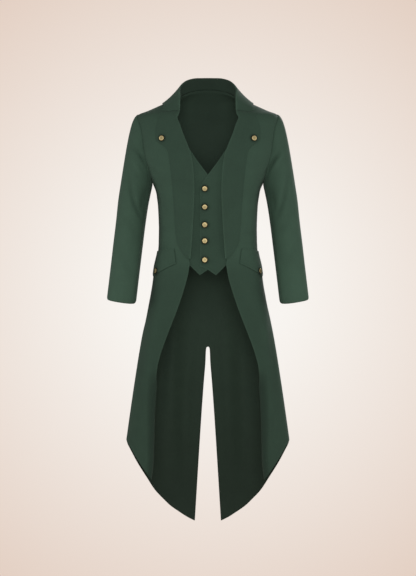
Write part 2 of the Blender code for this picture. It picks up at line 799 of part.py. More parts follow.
def sleeve_surface():
    """Inner face of the sleeve: the cap springs from the armhole, and rings carry it to the cuff."""
    loop = armhole_loop()
    turns = sleeve_turns(loop)
    first = sleeve_ring(0.0, turns)
    second = sleeve_ring(0.05, turns)
    fall = unit(second - first)
    reach = np.linalg.norm(first - loop, axis=1, keepdims=True)
    top = (1 + np.cos(np.radians(turns)))[:, None] / 2
    start_pull = CAP_WAY * (ARMPIT_REACH + (CAP_REACH - ARMPIT_REACH) * top)
    end_pull = -fall * reach * CAP_FALL
    rows = []
    alongs = []
    for t in CAP_STEPS:
        row = loop * (1 - t) ** 3 + 3 * (loop + start_pull) * t * (1 - t) ** 2
        row = row + 3 * (first + end_pull) * t * t * (1 - t) + first * t ** 3
        rows.append(row)
        alongs.append(-CAP_SHARE * (1 - t) * reach[:, 0] / reach.max())
    for t in np.linspace(0, 1, SLEEVE_STEPS + 1)[1:]:
        rows.append(sleeve_ring(t, turns))
        alongs.append(np.full(len(turns), t))
    points = np.array(rows)
    normals = -grid_normals(points, wrap=True)
    depth = sleeve_fold_depth(np.array(alongs), turns)
    fade = np.ones((len(rows), 1))
    fade[:len(FOLD_FADE_IN), 0] = FOLD_FADE_IN
    fade[-1] = FOLD_AT_CUFF
    return points - normals * (depth * fade)[..., None], normals


def add_sleeves():
    points, normals = sleeve_surface()
    columns = points.shape[1]
    front, back = TOP_SLEEVE_FRONT_COLUMN, columns + TOP_SLEEVE_BACK_COLUMN
    top = np.arange(back - columns, front + 1)
    under = np.arange(front, back + 1)
    for name, chosen in (("top_sleeve", top), ("under_sleeve", under)):
        base = seam_trimmed(points[:, chosen], ("left", "right"), SEAM_GAP)
        outer = base + normals[:, chosen] * CLOTH
        add_pair(name, base[:, ::-1], outer[:, ::-1], cloth_material())


def add_button(name, place, out):
    """A turned brass button whose flat back lies just clear of the cloth."""
    right = unit(np.cross(UPWARD, out))
    up = np.cross(out, right)
    points, faces = [], []
    for ring in BUTTON_PROFILE:
        for k in range(BUTTON_SIDES):
            turn = 2 * math.pi * k / BUTTON_SIDES
            spoke = right * math.cos(turn) + up * math.sin(turn)
            points.append(place + spoke * ring.radius + out * ring.height)
    last = (len(BUTTON_PROFILE) - 1) * BUTTON_SIDES
    for low in range(0, last, BUTTON_SIDES):
        for k in range(BUTTON_SIDES):
            after = (k + 1) % BUTTON_SIDES
            high = low + BUTTON_SIDES
            faces.append([low + k, low + after, high + after, high + k])
    faces.append(list(range(BUTTON_SIDES))[::-1])
    points.append(place + out * BUTTON_PEAK)
    for k in range(BUTTON_SIDES):
        faces.append([last + k, last + (k + 1) % BUTTON_SIDES, len(points) - 1])
    add_object(name, points, faces, brass_material())


def add_buttons():
    for number, z in enumerate(WAISTCOAT_BUTTON_LEVELS, start=1):
        angle = angle_at(WAISTCOAT_BUTTON_X, z)
        out = torso_normal(angle, z)
        place = torso(angle, z) + out * (LAID_ON_GAP - UNDER_GAP)
        add_button(f"waistcoat_button_{number}", place, out)
    lapel_angle = angle_at(LAPEL_BUTTON_X, LAPEL_BUTTON_LEVEL)
    lapel_lift = 2 * CLOTH + LAID_ON_GAP + SEAM_GAP
    flap_lift = FLAP_LIFT + FLAP_THICKNESS + SEAM_GAP
    spots = (
        ("lapel_button", lapel_angle, LAPEL_BUTTON_LEVEL, lapel_lift),
        ("flap_button", FLAP_BUTTON_ANGLE, FLAP_BUTTON_LEVEL, flap_lift),
    )
    for name, angle, height, lift in spots:
        for side, sign in (("left", 1), ("right", -1)):
            out = torso_normal(sign * angle, height)
            add_button(f"{name}_{side}", torso(sign * angle, height) + out * lift, out)


def main():
    clear_scene()
    add_fronts()
    add_backs()
    add_back_linings()
    add_collar()
    add_lapels()
    add_sleeves()
    add_waistcoat()
    add_hip_flaps()
    add_buttons()


main()
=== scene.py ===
"""Dresses the frame of a hollow tailcoat in green wool, a dark lining and brass buttons.

The tables are in millimetres, as a tailor marks cloth, and become metres where a mesh is made.
X is the wearer's left, -Y is the front and Z is up. The origin lies on the line between the shoulders.
"""

import json
import math
from collections import namedtuple

import bpy
import numpy as np
from bpy.props import FloatProperty, FloatVectorProperty, IntProperty, PointerProperty
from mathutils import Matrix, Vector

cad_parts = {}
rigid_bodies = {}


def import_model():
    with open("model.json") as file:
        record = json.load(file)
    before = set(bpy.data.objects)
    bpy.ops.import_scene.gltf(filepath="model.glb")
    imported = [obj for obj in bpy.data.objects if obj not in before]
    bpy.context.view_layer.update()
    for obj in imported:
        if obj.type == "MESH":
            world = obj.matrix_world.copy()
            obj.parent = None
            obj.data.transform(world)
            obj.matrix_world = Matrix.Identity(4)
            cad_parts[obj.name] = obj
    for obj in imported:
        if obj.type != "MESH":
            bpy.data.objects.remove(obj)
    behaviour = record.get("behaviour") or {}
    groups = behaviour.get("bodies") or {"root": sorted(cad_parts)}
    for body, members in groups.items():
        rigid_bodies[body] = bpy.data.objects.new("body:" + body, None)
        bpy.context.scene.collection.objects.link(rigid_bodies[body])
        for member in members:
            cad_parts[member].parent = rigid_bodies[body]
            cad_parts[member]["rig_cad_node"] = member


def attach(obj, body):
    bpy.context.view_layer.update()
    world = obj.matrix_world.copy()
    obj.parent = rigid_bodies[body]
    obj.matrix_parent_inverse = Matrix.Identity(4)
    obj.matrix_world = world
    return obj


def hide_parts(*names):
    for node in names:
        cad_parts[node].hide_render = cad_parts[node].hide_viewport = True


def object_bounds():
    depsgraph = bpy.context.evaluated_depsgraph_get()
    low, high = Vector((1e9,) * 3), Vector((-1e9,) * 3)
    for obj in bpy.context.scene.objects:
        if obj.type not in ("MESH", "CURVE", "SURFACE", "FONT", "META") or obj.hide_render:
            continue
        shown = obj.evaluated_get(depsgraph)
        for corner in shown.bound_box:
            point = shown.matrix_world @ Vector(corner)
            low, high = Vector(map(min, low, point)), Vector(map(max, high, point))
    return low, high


bl_info = {
    "name": "Tailcoat",
    "version": (1, 0, 0),
    "blender": (4, 5, 0),
    "location": "3D View > Sidebar > Tailcoat",
    "description": "Makes the cloth, lining, buttons and studio of a hollow tailcoat",
    "category": "Add Mesh",
}

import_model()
CAD_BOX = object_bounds()
MM = 0.001

# Studio, in metres. The backdrop is brightest in one direction, straight behind the coat.
GLOW_WAY = (0, 1, 0)
GLOW_START = 0.006
GLOW_END = 0.027
AMBIENT_COLOUR = (1.0, 0.985, 0.965, 1.0)
VIEW_MIDDLE = np.array([0.0004, 0.0, -0.5765])
SENSOR_WIDTH = 36
FLOOR_RADIUS = 2.6
FLOOR_SIDES = 96
FLOOR_DROP = 0.22
FLOOR_FADE_START = 0.3
FLOOR_FADE_END = 1.3
FLOOR_GLOW = (1.0, 0.91, 0.865, 1.0)
FLOOR_GLOW_STRENGTH = 0.156
AreaLight = namedtuple("AreaLight", "name place size power")
STUDIO_LIGHTS = (
    AreaLight("studio_side_left", (3.4, -0.9, 0.2), (1.6, 2.4), "side_light"),
    AreaLight("studio_side_right", (-3.4, -0.9, 0.2), (1.6, 2.4), "side_light"),
    AreaLight("studio_front", (0, -4.5, 1.2), (2.0, 2.4), "front_light"),
    AreaLight("studio_low", (0, -5.0, -0.5), (2.4, 1.8), "low_light"),
    AreaLight("studio_back", (1.7, 4.1, 1.7), (2.0, 2.4), "back_light"),
)

# Torso: one ring a row. Depths are measured from the side line to the front and to the back.
Ring = namedtuple("Ring", "z half_width front_depth back_depth")
RINGS = (
    Ring(22, 60, 14, 70),
    Ring(14, 70, 26, 75),
    Ring(4, 84, 38, 80),
    Ring(-17, 135, 62, 90),
    Ring(-39, 185, 81, 97),
    Ring(-49, 210, 90, 100),
    Ring(-66, 218.5, 98, 105),
    Ring(-100, 215, 109, 111),
    Ring(-155, 209, 120, 115),
    Ring(-200, 195, 124, 114),
    Ring(-240, 177, 124, 109),
    Ring(-257, 167, 122, 105),
    Ring(-285, 157, 119, 101),
    Ring(-330, 150.5, 113, 93),
    Ring(-400, 148, 106, 86),
    Ring(-456, 149.5, 105, 88),
    Ring(-513, 161, 109, 97),
    Ring(-573, 169, 113, 107),
    Ring(-639, 182, 114, 113),
    Ring(-729, 200, 110, 117),
    Ring(-857, 221, 101, 122),
    Ring(-1037, 247, 90, 131),
    Ring(-1150, 262, 86, 137),
    Ring(-1300, 280, 84, 145),
)
SQUARENESS = 2.3
NORMAL_TURN = 0.6
NORMAL_RISE = 1.5
OFF_CENTRE = 1e-6
NECK_LEVEL = 4
BACK_NECK_LEVEL = 22
SHOULDER_END = -49
ARMPIT = -256
SKIRT_LEVEL = -860
TURN_START = -805
TURN_FULL = -885
TURN_REACH = 10
TURN_WIDTH = 27
# Painted shade darkens the skirt's front edge where it turns in.
TURN_SHADE = 0.4
OPEN_EDGE_SETTLES = 60

# Front edge of the coat: neckline, roll line of the revers, then the cutaway.
# x is measured from the centre.
EdgePoint = namedtuple("EdgePoint", "z x")
FRONT_EDGE = (
    EdgePoint(4, 80),
    EdgePoint(-7, 86),
    EdgePoint(-17, 88.5),
    EdgePoint(-37, 85.5),
    EdgePoint(-47, 87.5),
    EdgePoint(-58, 93),
    EdgePoint(-79, 85.2),
    EdgePoint(-107, 75.5),
    EdgePoint(-143, 61),
    EdgePoint(-174, 50),
    EdgePoint(-217, 44),
    EdgePoint(-276, 41),
    EdgePoint(-378, 45),
    EdgePoint(-464, 51),
    EdgePoint(-503, 55),
    EdgePoint(-539, 61),
    EdgePoint(-593, 76),
    EdgePoint(-664, 101),
    EdgePoint(-719, 122.5),
    EdgePoint(-776, 143),
    EdgePoint(-823, 156),
    EdgePoint(-857, 167),
    EdgePoint(-962, 175),
    EdgePoint(-1102, 178),
    EdgePoint(-1160, 184),
)
HEM = (
    EdgePoint(-1289.5, 38),
    EdgePoint(-1279.5, 59),
    EdgePoint(-1261, 88),
    EdgePoint(-1242, 115),
    EdgePoint(-1219.5, 138),
    EdgePoint(-1195, 161),
    EdgePoint(-1158, 185),
    EdgePoint(-1106, 217),
    EdgePoint(-1067, 237),
    EdgePoint(-1055, 243),
    EdgePoint(-1038, 249),
    EdgePoint(-1030, 262),
)
FRONT_HEM_RISE = 16
HEM_GUESS = -1150
HEM_TRIES = 40
VENT = (
    EdgePoint(-756, 0.1),
    EdgePoint(-756.8, 2.6),
    EdgePoint(-758.5, 4.2),
    EdgePoint(-764, 5.4),
    EdgePoint(-804, 7.4),
    EdgePoint(-860, 12),
    EdgePoint(-950, 18.6),
    EdgePoint(-1290, 40),
)
VENT_ROWS = (-754, -755.9, -756.4, -757, -758, -759.5, -762, -765)
VENT_ROW_GAP = 2
VENT_SETTLES = 12
Armhole = namedtuple("Armhole", "z front_angle back_angle")
ARMHOLE = (
    Armhole(-49, 90, 90),
    Armhole(-57, 79, 101),
    Armhole(-72, 71, 108),
    Armhole(-100, 67, 113),
    Armhole(-140, 66, 115),
    Armhole(-196, 68, 113),
    Armhole(-231, 74, 106),
    Armhole(-247, 81, 99),
    Armhole(-256, 90, 90),
)
ARMHOLE_SAMPLES = 160
SIDE_SEAM_ANGLE = 98
SIDE_SEAM_SETTLES = -340

# Back lining: how it runs past the back at neck and hem, painted light beside the neck, and painted shade
# at hem and top.
LINING_HEM_RISE = 3
LINING_NECK_RISE = 6
LINING_RISE_SETTLES = 0.16
LINING_MEETS_STAND = 2.5
LINING_SIDE_LIGHT = 0.3
LINING_LIGHT_FADES = (-120, -200)
LINING_NECK_LIGHT = 0.65
LINING_NECK_LIGHT_LEVEL = -3
LINING_NECK_LIGHT_REACH = 14
LINING_HEM_SHADE = 1.0
LINING_TOP_SHADE = 0.5

# Collar: where its neck seam, fold and outer edge lie, from the gorge seam round to the centre back.
CollarStation = namedtuple(
    "CollarStation", "neck_angle foot_lift fold_x fold_y fold_z edge_angle edge_z edge_lift"
)
COLLAR = (
    CollarStation(28, 0.8, 87, -76, -36.5, 48.5, -35, 4.1),
    CollarStation(31.5, 1.8, 85.8, -67, -23, 54, -29, 4.6),
    CollarStation(39.5, 2.4, 85.4, -54, -6, 62, -23.5, 4.2),
    CollarStation(52, 2.4, 85.7, -38, 9, 72, -20.5, 3.8),
    CollarStation(71, 2.4, 85.9, -18, 22.5, 82, -18.5, 4.2),
    CollarStation(90, 2.2, 85.4, -2, 31.5, 92, -17.5, 4.6),
    CollarStation(115, 1.5, 78, 22, 44.5, 114, -17, 5.2),
    CollarStation(138, 1.0, 62, 43, 57, 135, -15, 5.2),
    CollarStation(160, 0.8, 34, 59, 63.4, 158, -11, 5.0),
    CollarStation(180, 0.8, 0, 65, 63.9, 180, -9, 5.0),
)
COLLAR_FRONT_LEVELS = (-28, -17, -7, 0, 4)
COLLAR_BACK_STATIONS = 8
NECK_SAMPLES = 60
LEAF_SHARE = 0.35
LEAF_SETTLE = 0.3
LEAF_ROUNDNESS = 0.6
FOLD_RADIUS = 3.0
STAND_GAP = 1.0
GORGE_LEVEL = -39.5

# Revers: its outer edge, from the gorge seam past the buttoned corner to where it runs out at the waist.
LAPEL_EDGE = (
    EdgePoint(-40, 138),
    EdgePoint(-60, 150),
    EdgePoint(-88, 158),
    EdgePoint(-119, 159),
    EdgePoint(-128, 157),
    EdgePoint(-134, 149),
    EdgePoint(-156, 124),
    EdgePoint(-186, 117),
    EdgePoint(-308, 104),
    EdgePoint(-430, 95),
    EdgePoint(-470, 78),
    EdgePoint(-488, 62),
)
LAPEL_TOP = -40
LAPEL_FOOT = -488
ROLL_START = -20
ROLL_RUNS_OUT = (-491, -502)
ROLL_WIDTH = 4.0
ROLL_RADIUS = 3.0
ROLL_SETTLES = 28.0
NARROW_ROLL = 0.35
NARROW_REACH = 30
UNDER_SHARES = np.array([0, 0.2, 0.5, 0.8])
ROLL_STEPS = 13
LEAF_STEPS = 16
CROWN_STEP = len(UNDER_SHARES) + ROLL_STEPS // 2

# Waistcoat front: neckline and overlapping edge, hidden side edge, and the lower edge with its point.
WAISTCOAT_EDGE = (
    EdgePoint(-95, 98),
    EdgePoint(-155, 55),
    EdgePoint(-193, 29.5),
    EdgePoint(-232, 0),
    EdgePoint(-255, -16),
    EdgePoint(-272, -24),
    EdgePoint(-540, -24),
)
WAISTCOAT_SIDE = (
    EdgePoint(-95, 122),
    EdgePoint(-155, 106),
    EdgePoint(-260, 96),
    EdgePoint(-400, 97),
    EdgePoint(-540, 106),
)
LowerPoint = namedtuple("LowerPoint", "x z")
WAISTCOAT_LOWER = (
    LowerPoint(-24, -512),
    LowerPoint(-3, -518.5),
    LowerPoint(25, -537.5),
    LowerPoint(55, -509),
    LowerPoint(110, -492),
)
WAISTCOAT_TOP = -95
WAISTCOAT_LEVEL = -460
WAISTCOAT_UNDERLAP = 1.9
UNDERLAP_FULL_X = 35
UNDERLAP_END_X = 60
WAISTCOAT_WIDTH = 110
WAISTCOAT_SAMPLES = 49
WAISTCOAT_LOWER_ROWS = 10
CORNER_CLEARANCE = 0.006
CORNER_STEP = 0.007

# Hip flap: its top and lower edge by angle round the torso.
FlapColumn = namedtuple("FlapColumn", "top_angle top_z lower_angle lower_z")
FLAP = (
    FlapColumn(40, -456, 34, -503),
    FlapColumn(58, -459, 56, -524),
    FlapColumn(78, -463, 79, -543),
    FlapColumn(97, -466, 98, -524),
    FlapColumn(114, -468, 115, -505),
)
FLAP_WIDTH = 150.0
FLAP_HEIGHT = 60.0
FLAP_TOP_SHADE = 0.2

# Sleeve below the armhole: each ring's outer and inner point from the front, half depth and centre.
SleeveRing = namedtuple("SleeveRing", "along outer_x outer_z inner_x inner_z half_depth centre_y")
SLEEVE = (
    SleeveRing(0.00, 264, -256, 170.5, -264, 62, 4),
    SleeveRing(0.16, 272, -310, 182, -319, 58, 0),
    SleeveRing(0.33, 278, -368, 191, -378, 55, -6),
    SleeveRing(0.52, 286, -435, 199.5, -446, 52, -13),
    SleeveRing(0.77, 296, -522, 210, -533, 48, -27),
    SleeveRing(1.00, 306.5, -610.5, 220.5, -623, 46, -42),
)
SLEEVE_LENGTH = 361.0
CUFF_ROUND = 9.0
CUFF_OUTER_TUCK = 3.0
CUFF_INNER_TUCK = 6.5
CUFF_FRONT_DROP = 4.0
CAP_REACH = 20
ARMPIT_REACH = 4
CAP_WAY = np.array([1, 0, -0.1])
CAP_FALL = 0.62
SLEEVE_SEAM_FRONT_LEVEL = -196
SLEEVE_SEAM_BACK_LEVEL = -168
SEAM_DRIFT = 30
SEAM_DRIFT_ENDS = 0.7
SLEEVE_TURN_STEP = 2.0
CAP_ROWS = 34
FALL_SAMPLE = 0.05

# Folds, each a soft trough through three points of the front or back view. A negative depth is a ridge.
Fold = namedtuple("Fold", "x1 z1 x2 z2 x3 z3 half_width depth")
FRONT_FOLDS = (
    Fold(186, -205, 168, -228, 138, -256, 13, 1.6),
    Fold(172, -262, 148, -292, 118, -330, 14, 1.2),
    Fold(150, -392, 128, -410, 100, -402, 12, 1.3),
    Fold(152, -430, 134, -441, 112, -436, 10, 0.9),
    Fold(176, -600, 196, -760, 214, -960, 24, 2.4),
    Fold(140, -585, 168, -700, 190, -860, 22, -1.6),
    Fold(-188, -200, -166, -220, -132, -242, 13, 1.8),
    Fold(-170, -268, -150, -300, -124, -348, 13, 1.2),
    Fold(-151, -385, -124, -398, -94, -384, 13, 1.1),
    Fold(-153, -436, -136, -449, -116, -440, 10, 1.0),
    Fold(-180, -590, -200, -770, -216, -980, 24, 2.2),
    Fold(-132, -570, -162, -690, -188, -880, 22, -1.8),
)
BACK_FOLDS = (
    Fold(150, -66, 128, -170, 132, -290, 22, 3.3),
    Fold(186, -150, 166, -205, 128, -262, 14, 4.5),
    Fold(178, -225, 152, -262, 110, -318, 13, 3.9),
    Fold(140, -398, 96, -416, 44, -404, 11, 2.7),
    Fold(146, -432, 92, -455, 22, -444, 12, 3.6),
    Fold(150, -478, 100, -500, 40, -492, 12, 2.4),
    Fold(44, -104, 38, -230, 48, -350, 18, 2.1),
    Fold(158, -570, 182, -790, 196, -1070, 30, 7.5),
    Fold(122, -550, 150, -800, 158, -1130, 26, -6.8),
    Fold(88, -560, 106, -850, 112, -1190, 26, 6.9),
    Fold(46, -620, 60, -900, 74, -1220, 24, -5.4),
    Fold(-146, -60, -124, -160, -120, -300, 22, 3.6),
    Fold(-188, -142, -162, -190, -122, -236, 14, 4.2),
    Fold(-176, -236, -146, -280, -104, -350, 13, 4.2),
    Fold(-142, -388, -100, -402, -52, -394, 11, 2.4),
    Fold(-147, -436, -86, -446, -18, -458, 12, 3.9),
    Fold(-149, -470, -110, -492, -60, -480, 12, 2.7),
    Fold(-40, -120, -46, -240, -36, -372, 18, 1.8),
    Fold(-160, -560, -178, -800, -200, -1050, 30, 6.6),
    Fold(-126, -560, -144, -820, -164, -1120, 26, -6.0),
    Fold(-84, -540, -110, -830, -106, -1180, 26, 7.5),
    Fold(-42, -640, -64, -880, -70, -1230, 24, -6.0),
)

# Folds of the sleeves, for the wearer's left and right arm. x is measured outwards from the centre.
LEFT_SLEEVE_FRONT = (
    Fold(224, -160, 197, -190, 176, -238, 9, 5.5),
    Fold(240, -150, 214, -190, 192, -226, 8, -2.4),
    Fold(246, -222, 234, -292, 206, -370, 10, 5.0),
    Fold(190, -262, 199, -308, 204, -350, 15, 3.0),
    Fold(262, -330, 240, -378, 212, -410, 15, 1.8),
    Fold(276, -420, 258, -470, 230, -520, 17, 1.6),
)
LEFT_SLEEVE_BACK = (
    Fold(196, -176, 218, -226, 240, -270, 13, 4.0),
    Fold(190, -262, 222, -310, 262, -340, 13, 3.4),
    Fold(206, -390, 238, -420, 274, -424, 14, 3.0),
    Fold(216, -452, 246, -486, 280, -494, 15, 2.2),
)
RIGHT_SLEEVE_FRONT = (
    Fold(238, -146, 198, -181, 170, -240, 9, 5.8),
    Fold(244, -170, 222, -200, 196, -240, 10, -2.2),
    Fold(243, -218, 230, -300, 196, -378, 10, 5.4),
    Fold(186, -258, 198, -312, 206, -356, 16, 3.2),
    Fold(266, -344, 238, -386, 214, -404, 15, 1.6),
    Fold(280, -436, 256, -492, 234, -548, 18, 1.5),
)
RIGHT_SLEEVE_BACK = (
    Fold(198, -168, 224, -218, 246, -280, 13, 4.2),
    Fold(192, -274, 226, -318, 266, -334, 13, 3.2),
    Fold(208, -402, 240, -424, 276, -440, 14, 2.8),
    Fold(218, -470, 250, -498, 286, -520, 16, 2.0),
)
FOLD_SAMPLES = 36
FOLD_REACH = 3
FOLD_BANK = 0.75
FOLD_TAPER = 0.8
SLEEVE_FOLDS_START = 25
SPINE_SMOOTHING = 7

# Buttons: a flat back, a rounded rim and a low dome with a groove round it. Both columns are shares.
ProfilePoint = namedtuple("ProfilePoint", "radius height")
BUTTON_PROFILE = (
    ProfilePoint(0.00, 0.00),
    ProfilePoint(0.55, 0.00),
    ProfilePoint(0.62, 0.14),
    ProfilePoint(0.80, 0.22),
    ProfilePoint(0.93, 0.28),
    ProfilePoint(0.99, 0.38),
    ProfilePoint(1.00, 0.50),
    ProfilePoint(0.985, 0.60),
    ProfilePoint(0.95, 0.66),
    ProfilePoint(0.90, 0.66),
    ProfilePoint(0.86, 0.62),
    ProfilePoint(0.84, 0.62),
    ProfilePoint(0.82, 0.72),
    ProfilePoint(0.78, 0.84),
    ProfilePoint(0.70, 0.91),
    ProfilePoint(0.58, 0.945),
    ProfilePoint(0.44, 0.965),
    ProfilePoint(0.28, 0.985),
    ProfilePoint(0.10, 1.00),
    ProfilePoint(0.00, 1.00),
)
# Painted shade darkens the rim outside the face share, and a little the centre inside the dull share.
FACE_SHARE = 0.83
DULL_SHARE = 0.5
DULLNESS = 0.3
BACK_DULLNESS = 0.6
WAISTCOAT_BUTTON_X = -9.5
WAISTCOAT_BUTTON_LEVELS = (-274, -330, -384, -433, -491)
LAPEL_BUTTON_X = 139
LAPEL_BUTTON_LEVEL = -121
FLAP_BUTTON_ANGLE = 70
FLAP_BUTTON_LEVEL = -525

# Gaps between the layers of cloth, and under the buttons of the revers and the flaps.
LAID_ON_GAP = 0.8
UNDER_GAP = 1.3
LINING_GAP = 0.4
SEAM_GAP = 0.1
BUTTON_GAP = 0.3

# Rows and columns crowd together along an edge, so that it can be rounded off.
EDGE_STEPS = np.array([0, 0.15, 0.45, 0.9, 2, 4, 7])
FLAP_SPACING = 3.0
FINE_SPACING = 4.0
WAISTCOAT_SPACING = 4.5
SLEEVE_SPACING = 5.0
PANEL_SAMPLES = 33
NOMINAL_WIDTH = 1000.0

# How cloth sinks along seams and stitches, painted shade there and round a button, and how far it laps a
# seam.
HEM_INSET = 20
CUFF_INSET = 12
EDGE_INSET = 6
SEAM_WIDTH = 2.2
SEAM_DEPTH = 0.5
HEM_STITCH_DEPTH = 0.22
STITCH_WIDTH = 1.2
STITCH_SHADE = 0.5
SHADE_WIDTH = 4.0
SEAM_SHADE = 0.7
BUTTON_SHADE = 0.65
BUTTON_SHADE_REACH = 12.5
SEAM_LAP = 0.4
ARMHOLE_LAP = 2.2
ARMHOLE_LAP_STARTS = (-43, -53)
ARMHOLE_LAP_ENDS = (-250, -258)
LAP_FADES = 3.0

# Painted light and shade by height, where the light falls more or less on each piece.
# The sleeves and the chest are painted lightest.
Tone = namedtuple("Tone", "z value")
BODY_TONE = (
    Tone(-30, 0.98),
    Tone(-75, 1.11),
    Tone(-130, 1.2),
    Tone(-230, 1.31),
    Tone(-470, 1.31),
    Tone(-535, 1.06),
    Tone(-700, 0.97),
    Tone(-1000, 0.9),
    Tone(-1120, 0.85),
)
SLEEVE_TONE = (Tone(-60, 1.25), Tone(-200, 1.34), Tone(-400, 1.46), Tone(-600, 1.56))
LAPEL_TONE = (Tone(-40, 0.97), Tone(-130, 1.0), Tone(-300, 1.07), Tone(-480, 1.1))
WAISTCOAT_TONE = (Tone(-100, 1.08), Tone(-300, 1.13), Tone(-390, 1.06), Tone(-530, 1.0))
FLAP_TONE = (Tone(-456, 1.26), Tone(-543, 1.22))
COLLAR_TONE = (Tone(60, 0.86), Tone(40, 0.93), Tone(20, 1.12), Tone(-40, 1.08))
LINING_TONE = (
    Tone(20, 1.2),
    Tone(-60, 1.18),
    Tone(-150, 1.28),
    Tone(-560, 1.4),
    Tone(-760, 1.2),
    Tone(-980, 0.93),
    Tone(-1200, 0.62),
)
# Painted shade in the folds' troughs, painted light on their ridges, and painted highlights along rolls
# and edges.
CREASE_SHADE = 0.034
ROLL_HIGHLIGHT = 0.35
ROLL_HIGHLIGHT_WIDTH = 3.0
HIGHLIGHT_STEP = CROWN_STEP + 1
EDGE_HIGHLIGHT = 0.16
EDGE_HIGHLIGHT_WIDTH = 3.0

# Colours of patches, flecks, painted shade at seams and on brass, and tarnish, as shares of the cloth's
# or brass's own.
LIGHT_PATCH = 1.06
DARK_PATCH = 0.94
FIBRE_FLECK = 1.5
SEAM_DARK = 0.45
SEAM_AMOUNT = 0.35
SHADE_AND_TARNISH_DARK = 0.05
TARNISH_STAINS = 0.12
PATCH_ROUGHNESS = 0.06
RIB_DEPTH = 0.0002
NAP_DEPTH = 0.0003


def smooth_curve(stations, values):
    """A curve through the values that never swings past them, as a function of the station."""
    order = np.argsort(stations)
    x = np.asarray(stations, float)[order]
    y = np.asarray(values, float)[order]
    step = np.diff(x)
    slope = np.diff(y) / step
    tangent = np.empty(len(x))
    tangent[0], tangent[-1] = slope[0], slope[-1]
    same_way = slope[:-1] * slope[1:] > 0
    weight_a = 2 * step[1:] + step[:-1]
    weight_b = step[1:] + 2 * step[:-1]
    safe_a = np.where(same_way, slope[:-1], 1)
    safe_b = np.where(same_way, slope[1:], 1)
    mean = (weight_a + weight_b) / (weight_a / safe_a + weight_b / safe_b)
    tangent[1:-1] = np.where(same_way, mean, 0)

    def at(station):
        q = np.clip(np.asarray(station, float), x[0], x[-1])
        i = np.clip(np.searchsorted(x, q) - 1, 0, len(step) - 1)
        t = (q - x[i]) / step[i]
        rise = y[i] * (1 + 2 * t) * (1 - t) ** 2 + y[i + 1] * t * t * (3 - 2 * t)
        bend = tangent[i] * t * (1 - t) ** 2 - tangent[i + 1] * t * t * (1 - t)
        return rise + step[i] * bend

    return at


def column(rows, name, by="z"):
    """One column of a table as a smooth function of another."""
    return smooth_curve([getattr(row, by) for row in rows], [getattr(row, name) for row in rows])


def straight(rows, name, by):
    """The same with straight runs, for an outline with corners."""
    pairs = sorted((getattr(row, by), getattr(row, name)) for row in rows)
    stations, values = zip(*pairs)
    return lambda station: np.interp(station, stations, values)


HALF_WIDTH = column(RINGS, "half_width")
FRONT_DEPTH = column(RINGS, "front_depth")
BACK_DEPTH = column(RINGS, "back_depth")
FRONT_EDGE_X = column(FRONT_EDGE, "x")
LAPEL_EDGE_X = column(LAPEL_EDGE, "x")
HEM_Z = column(HEM, "z", by="x")
VENT_X = column(VENT, "x")
ARMHOLE_FRONT = column(ARMHOLE, "front_angle")
ARMHOLE_BACK = column(ARMHOLE, "back_angle")
SLEEVE_CURVES = {name: column(SLEEVE, name, by="along") for name in SleeveRing._fields[1:]}


def unit(vectors):
    """The same vectors with a length of 1."""
    return vectors / np.linalg.norm(vectors, axis=-1, keepdims=True)


def step_between(z, start, end):
    """0 above the start, 1 below the end, and smooth between."""
    t = np.clip((start - np.asarray(z, float)) / (start - end), 0, 1)
    return t * t * (3 - 2 * t)


def torso(angle, z):
    """The inner face of the coat's cloth at an angle in degrees from the centre front, and a height."""
    angle = np.radians(np.asarray(angle, float))
    z = np.asarray(z, float)
    side, ahead = np.sin(angle), np.cos(angle)
    power = 2 / SQUARENESS
    depth = np.where(ahead > 0, FRONT_DEPTH(z), BACK_DEPTH(z))
    x = HALF_WIDTH(z) * np.sign(side) * np.abs(side) ** power
    y = -depth * np.sign(ahead) * np.abs(ahead) ** power
    return np.stack(np.broadcast_arrays(x, y, z), axis=-1)


def torso_normal(angle, z):
    """The way straight out of the torso at an angle and a height."""
    round_torso = torso(angle + NORMAL_TURN, z) - torso(angle - NORMAL_TURN, z)
    up_torso = torso(angle, z + NORMAL_RISE) - torso(angle, z - NORMAL_RISE)
    return unit(np.cross(round_torso, up_torso))


def angle_at(x, z, behind=False):
    """The angle at which the torso is x from its centre plane, on its front or behind."""
    part = np.clip(np.abs(x) / HALF_WIDTH(z), 0, 1) ** (SQUARENESS / 2)
    angle = np.degrees(np.arcsin(part))
    return np.sign(x) * (180 - angle) if behind else np.sign(x) * angle


def through_three(fold):
    """Points in the view's plane along the curve through a fold's three points."""
    t = np.linspace(0, 1, FOLD_SAMPLES)
    first, middle, last = (1 - t) * (1 - 2 * t), 4 * t * (1 - t), t * (2 * t - 1)
    x = fold.x1 * first + fold.x2 * middle + fold.x3 * last
    z = fold.z1 * first + fold.z2 * middle + fold.z3 * last
    return x, z


def fold_lift(points, spines):
    """How far each point stands out because of the folds: a trough with low banks along each spine."""
    flat = points.reshape(-1, 3)
    lift = np.zeros(len(flat))
    for spine, fold in spines:
        reach = np.ptp(spine, axis=0) / 2 + FOLD_REACH * fold.half_width
        near = (np.abs(flat - spine.mean(axis=0)) < reach).all(axis=1)
        if not near.any():
            continue
        apart = np.linalg.norm(flat[near, None] - spine[None], axis=2)
        closest = apart.argmin(axis=1)
        along = closest / (len(spine) - 1)
        away = apart[np.arange(len(closest)), closest] / fold.half_width
        taper = np.sin(np.pi * along) ** FOLD_TAPER
        lift[near] -= fold.depth * taper * (1 - FOLD_BANK * away ** 2) * np.exp(-(away ** 2))
    return lift.reshape(points.shape[:-1])


def torso_spines():
    """The spines of the folds of fronts and backs, laid on the torso."""
    spines = []
    for folds, behind in ((FRONT_FOLDS, False), (BACK_FOLDS, True)):
        for fold in folds:
            x, z = through_three(fold)
            spines.append((torso(angle_at(x, z, behind), z), fold))
    return spines


TORSO_SPINES = torso_spines()


def dressed(angle, z, lift):
    """The folded surface of the coat, lifted off the inner face of its cloth."""
    base = torso(angle, z)
    out = np.asarray(lift) + fold_lift(base, TORSO_SPINES)
    return base + torso_normal(angle, z) * out[..., None]


